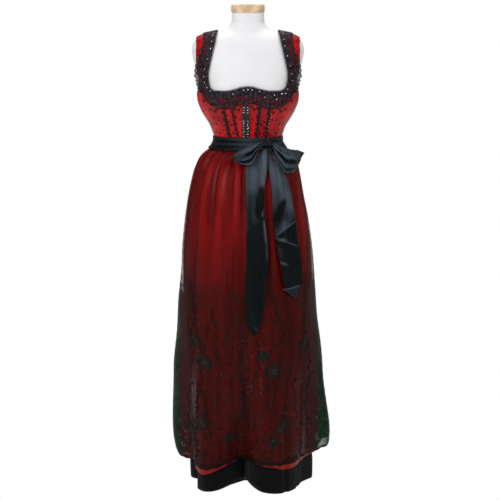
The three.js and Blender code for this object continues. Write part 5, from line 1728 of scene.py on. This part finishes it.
def make_knot():
    face = min(float(clear_face(KNOT["x"], 1085.0, 1085.0)), -108)
    u, v = mesh_grid(72, 48)
    angle = 2 * np.pi * u
    rise = v * 2 - 1
    width = np.interp(rise, (-1, -0.7, -0.2, 0.3, 0.75, 1), (0.62, 0.9, 0.98, 0.92, 1, 0.8))
    depth = np.interp(rise, (-1, -0.7, -0.2, 0.3, 0.75, 1), (0.6, 0.9, 1, 1, 0.85, 0.55))
    cap = np.sqrt(np.clip(1 - np.abs(rise) ** 8, 0, 1))
    pleat = 1 + 0.05 * np.sin(angle * 5 + rise * 2.4) + 0.03 * np.sin(angle * 9 - rise * 4)
    points = np.stack(
        [
            KNOT["x"] + KNOT["half_width"] * width * cap * pleat * np.sin(angle),
            face - 20 - KNOT["depth"] * depth * cap * pleat * np.cos(angle),
            KNOT["z"] + (KNOT["half_height"] + 0.5) * rise,
        ],
        axis=-1,
    )
    # Painted highlights and painted shade that follow the knot's pleats.
    lit = 0.10 + 0.12 * np.sin(angle * 5 + rise * 2.4)
    piece = cloth("bow_knot_cloth", points, 0, closed=True, flip=False, attributes={"lit": lit})
    dress(piece, "satin_slate", "sash_satin", "bow_knot")


def make_turned_tip():
    """The small folded triangle at the pointed end of the right tail."""
    corner, far, tip = (np.array(place, float) for place in TURNED_TIP)
    u, v = mesh_grid(20, 14)
    upper = corner + (far - corner) * u[..., None]
    lower = corner + (tip - corner) * np.minimum(u * 1.6, 1)[..., None]
    lower = np.where(u[..., None] > 0.625, tip + (far - tip) * ((u - 0.625) / 0.375)[..., None] * 0.9, lower)
    place = upper + (lower - upper) * v[..., None]
    x, z = place[..., 0], place[..., 1]
    bulge = 2.2 * np.sin(np.pi * np.clip(v, 0, 1)) * np.sin(np.pi * u)
    points = np.stack([x, clear_face(x, z) - 14.5 - bulge - 1.2 * v, z], axis=-1)
    # Painted highlights along the fold's upper edge and at its corner.
    lit = 0.12 + 0.5 * smooth((0.16 - v) / 0.12) + 0.45 * smooth((0.12 - u) / 0.1)
    piece = cloth("bow_tail_tip_fold", points, sizes().sash_wall / MM, attributes={"lit": lit})
    measure(piece, points)
    dress(piece, "satin_slate", "sash_satin")
    declare(piece)


def make_bow():
    make_knot()
    make_loop("bow_loop_left_cloth", LEFT_LOOP, "bow_loop_left", LEFT_LOOP_FOLDS)
    make_loop("bow_loop_right_cloth", RIGHT_LOOP, "bow_loop_right", RIGHT_LOOP_FOLDS)
    make_tail(
        "bow_tail_left_cloth",
        LEFT_TAIL,
        "bow_tail_left",
        LEFT_TAIL_CREASES,
        step=10,
        tones=LEFT_TAIL_PAINTED_LIGHT,
        painted_shade_below=900,
    )
    make_tail(
        "bow_tail_right_cloth",
        RIGHT_TAIL,
        "bow_tail_right",
        RIGHT_TAIL_CREASES,
        step=0,
        tones=RIGHT_TAIL_PAINTED_LIGHT,
        painted_shade_below=860,
    )
    make_turned_tip()


def make_backdrop():
    """A wide pale floor that runs out into the white around it."""
    reach, depth = 12.0, 0.001
    corners = ((-reach, -reach), (reach, -reach), (reach, reach), (-reach, reach))
    verts = [(x, y, -depth) for x, y in corners]
    made = new_object("floor", np.array(verts), np.array([(0, 1, 2, 3)]))
    paper, tree, surface, _ = start_material("pale_floor")
    place = node(tree, "ShaderNodeTexCoord").outputs["Object"]
    cloud = node(tree, "ShaderNodeTexNoise", {"Vector": place, "Scale": 3.0, "Detail": 2.0}).outputs[0]
    tone = mix_colour(tree, cloud, (0.93, 0.93, 0.93, 1.0), (0.96, 0.96, 0.96, 1.0))
    tree.links.new(tone, surface.inputs["Base Color"])
    surface.inputs["Roughness"].default_value = 0.9
    surface.inputs["Specular IOR Level"].default_value = 0.1
    output = next(each for each in tree.nodes if each.type == "OUTPUT_MATERIAL")
    glow = node(tree, "ShaderNodeEmission", {"Strength": 1.0}).outputs[0]
    seen = node(tree, "ShaderNodeLightPath").outputs["Is Camera Ray"]
    shown = node(tree, "ShaderNodeMixShader", {0: seen})
    tree.links.new(surface.outputs[0], shown.inputs[1])
    tree.links.new(glow, shown.inputs[2])
    tree.links.new(shown.outputs[0], output.inputs[0])
    made.data.materials.append(paper)


def make_stage():
    scene = bpy.context.scene
    scene.view_settings.view_transform = "Standard"
    make_backdrop()
    world = bpy.data.worlds.new("studio")
    world.use_nodes = True
    tree = world.node_tree
    background = tree.nodes["Background"]
    background.inputs[0].default_value = (1, 1, 1, 1)
    seen = node(tree, "ShaderNodeLightPath").outputs["Is Camera Ray"]
    strength = math_node(tree, "ADD", math_node(tree, "MULTIPLY", seen, 0.70), 0.30)
    tree.links.new(strength, background.inputs[1])
    scene.world = world
    for name, place, power, size in (
        ("key", (-2.2, -3.4, 3.0), 88, 1.3),
        ("fill", (2.6, -3.2, 2.4), 34, 1.2),
        ("top", (0.2, 0.2, 3.8), 34, 2.2),
        ("wall", (0.0, 1.6, 4.4), 120, 3.0),
    ):
        light = bpy.data.lights.new(name, "AREA")
        light.energy = power
        light.size = size
        lamp = bpy.data.objects.new(name, light)
        lamp.location = place
        aim = np.array([0, 0, 0.9]) - np.array(place)
        if name == "wall":
            aim = np.array([0, 3.8, 1.6]) - np.array(place)
        lamp.rotation_euler = (
            math.atan2(math.hypot(aim[0], aim[1]), -aim[2]),
            0,
            math.atan2(aim[1], aim[0]) - math.pi / 2,
        )
        scene.collection.objects.link(lamp)
    camera_data = bpy.data.cameras.new("camera")
    camera_data.sensor_width = 36
    camera_data.lens = sizes().camera_lens
    camera = bpy.data.objects.new("camera", camera_data)
    camera.location = (0.0064, -4.5, 1.5)
    camera.rotation_euler = (math.radians(90 - 9.33), 0, 0)
    scene.collection.objects.link(camera)
    scene.camera = camera


# ---- the add-on ----------------------------------------------------------------------------------
class DIRNDL_OT_stage(bpy.types.Operator):
    """Builds the pale floor, the soft lights and the camera"""

    bl_idname = "dirndl.stage"
    bl_label = "Stage"

    def execute(self, context):
        make_stage()
        return {"FINISHED"}


class DIRNDL_OT_form(bpy.types.Operator):
    """Builds the limbless dress form and its wooden neck cap, and gives its stand a steel material"""

    bl_idname = "dirndl.form"
    bl_label = "Dress form"

    def execute(self, context):
        make_form()
        return {"FINISHED"}


class DIRNDL_OT_bodice(bpy.types.Operator):
    """Builds the six satin panels of the bodice"""

    bl_idname = "dirndl.bodice"
    bl_label = "Bodice"

    def execute(self, context):
        make_bodice()
        return {"FINISHED"}


class DIRNDL_OT_collar(bpy.types.Operator):
    """Builds the lace collar with its picots and rhinestones"""

    bl_idname = "dirndl.collar"
    bl_label = "Lace collar"

    def execute(self, context):
        make_collar()
        make_stones()
        return {"FINISHED"}


class DIRNDL_OT_trims(bpy.types.Operator):
    """Builds the ruched trims, the hook placket and its hooks"""

    bl_idname = "dirndl.trims"
    bl_label = "Trims and placket"

    def execute(self, context):
        make_trims()
        make_placket()
        return {"FINISHED"}


class DIRNDL_OT_skirts(bpy.types.Operator):
    """Builds the gathered satin skirt and the black underskirt"""

    bl_idname = "dirndl.skirts"
    bl_label = "Skirts"

    def execute(self, context):
        make_skirts()
        return {"FINISHED"}


class DIRNDL_OT_apron(bpy.types.Operator):
    """Builds the sheer apron and its embroidery"""

    bl_idname = "dirndl.apron"
    bl_label = "Apron"

    def execute(self, context):
        make_apron()
        make_embroidery()
        return {"FINISHED"}


class DIRNDL_OT_sash(bpy.types.Operator):
    """Builds the sash around the waist and its tied bow"""

    bl_idname = "dirndl.sash"
    bl_label = "Sash and bow"

    def execute(self, context):
        make_waistband()
        make_bow()
        return {"FINISHED"}


class DIRNDL_PT_garment(bpy.types.Panel):
    """Lists the sizes, the colours and the pieces of the dirndl"""

    bl_label = "Dirndl"
    bl_idname = "DIRNDL_PT_garment"
    bl_space_type = "VIEW_3D"
    bl_region_type = "UI"
    bl_category = "Dirndl"

    def draw(self, context):
        for group in (context.scene.dirndl_sizes, context.scene.dirndl_colours):
            box = self.layout.box()
            for key in group.bl_rna.properties.keys():
                if key not in ("rna_type", "name"):
                    box.prop(group, key)
        for operator in OPERATORS:
            self.layout.operator(operator.bl_idname)


OPERATORS = (
    DIRNDL_OT_stage,
    DIRNDL_OT_form,
    DIRNDL_OT_bodice,
    DIRNDL_OT_collar,
    DIRNDL_OT_trims,
    DIRNDL_OT_sash,
    DIRNDL_OT_skirts,
    DIRNDL_OT_apron,
)
CLASSES = (DirndlSizes, DirndlColours) + OPERATORS + (DIRNDL_PT_garment,)


def register():
    for each in CLASSES:
        bpy.utils.register_class(each)
    bpy.types.Scene.dirndl_sizes = bpy.props.PointerProperty(type=DirndlSizes)
    bpy.types.Scene.dirndl_colours = bpy.props.PointerProperty(type=DirndlColours)


def unregister():
    del bpy.types.Scene.dirndl_colours
    del bpy.types.Scene.dirndl_sizes
    for each in reversed(CLASSES):
        bpy.utils.unregister_class(each)


def main():
    register()
    bpy.ops.dirndl.stage()
    bpy.ops.dirndl.form()
    bpy.ops.dirndl.bodice()
    bpy.ops.dirndl.collar()
    bpy.ops.dirndl.trims()
    bpy.ops.dirndl.sash()
    bpy.ops.dirndl.skirts()
    bpy.ops.dirndl.apron()


if __name__ == "__main__":
    main()
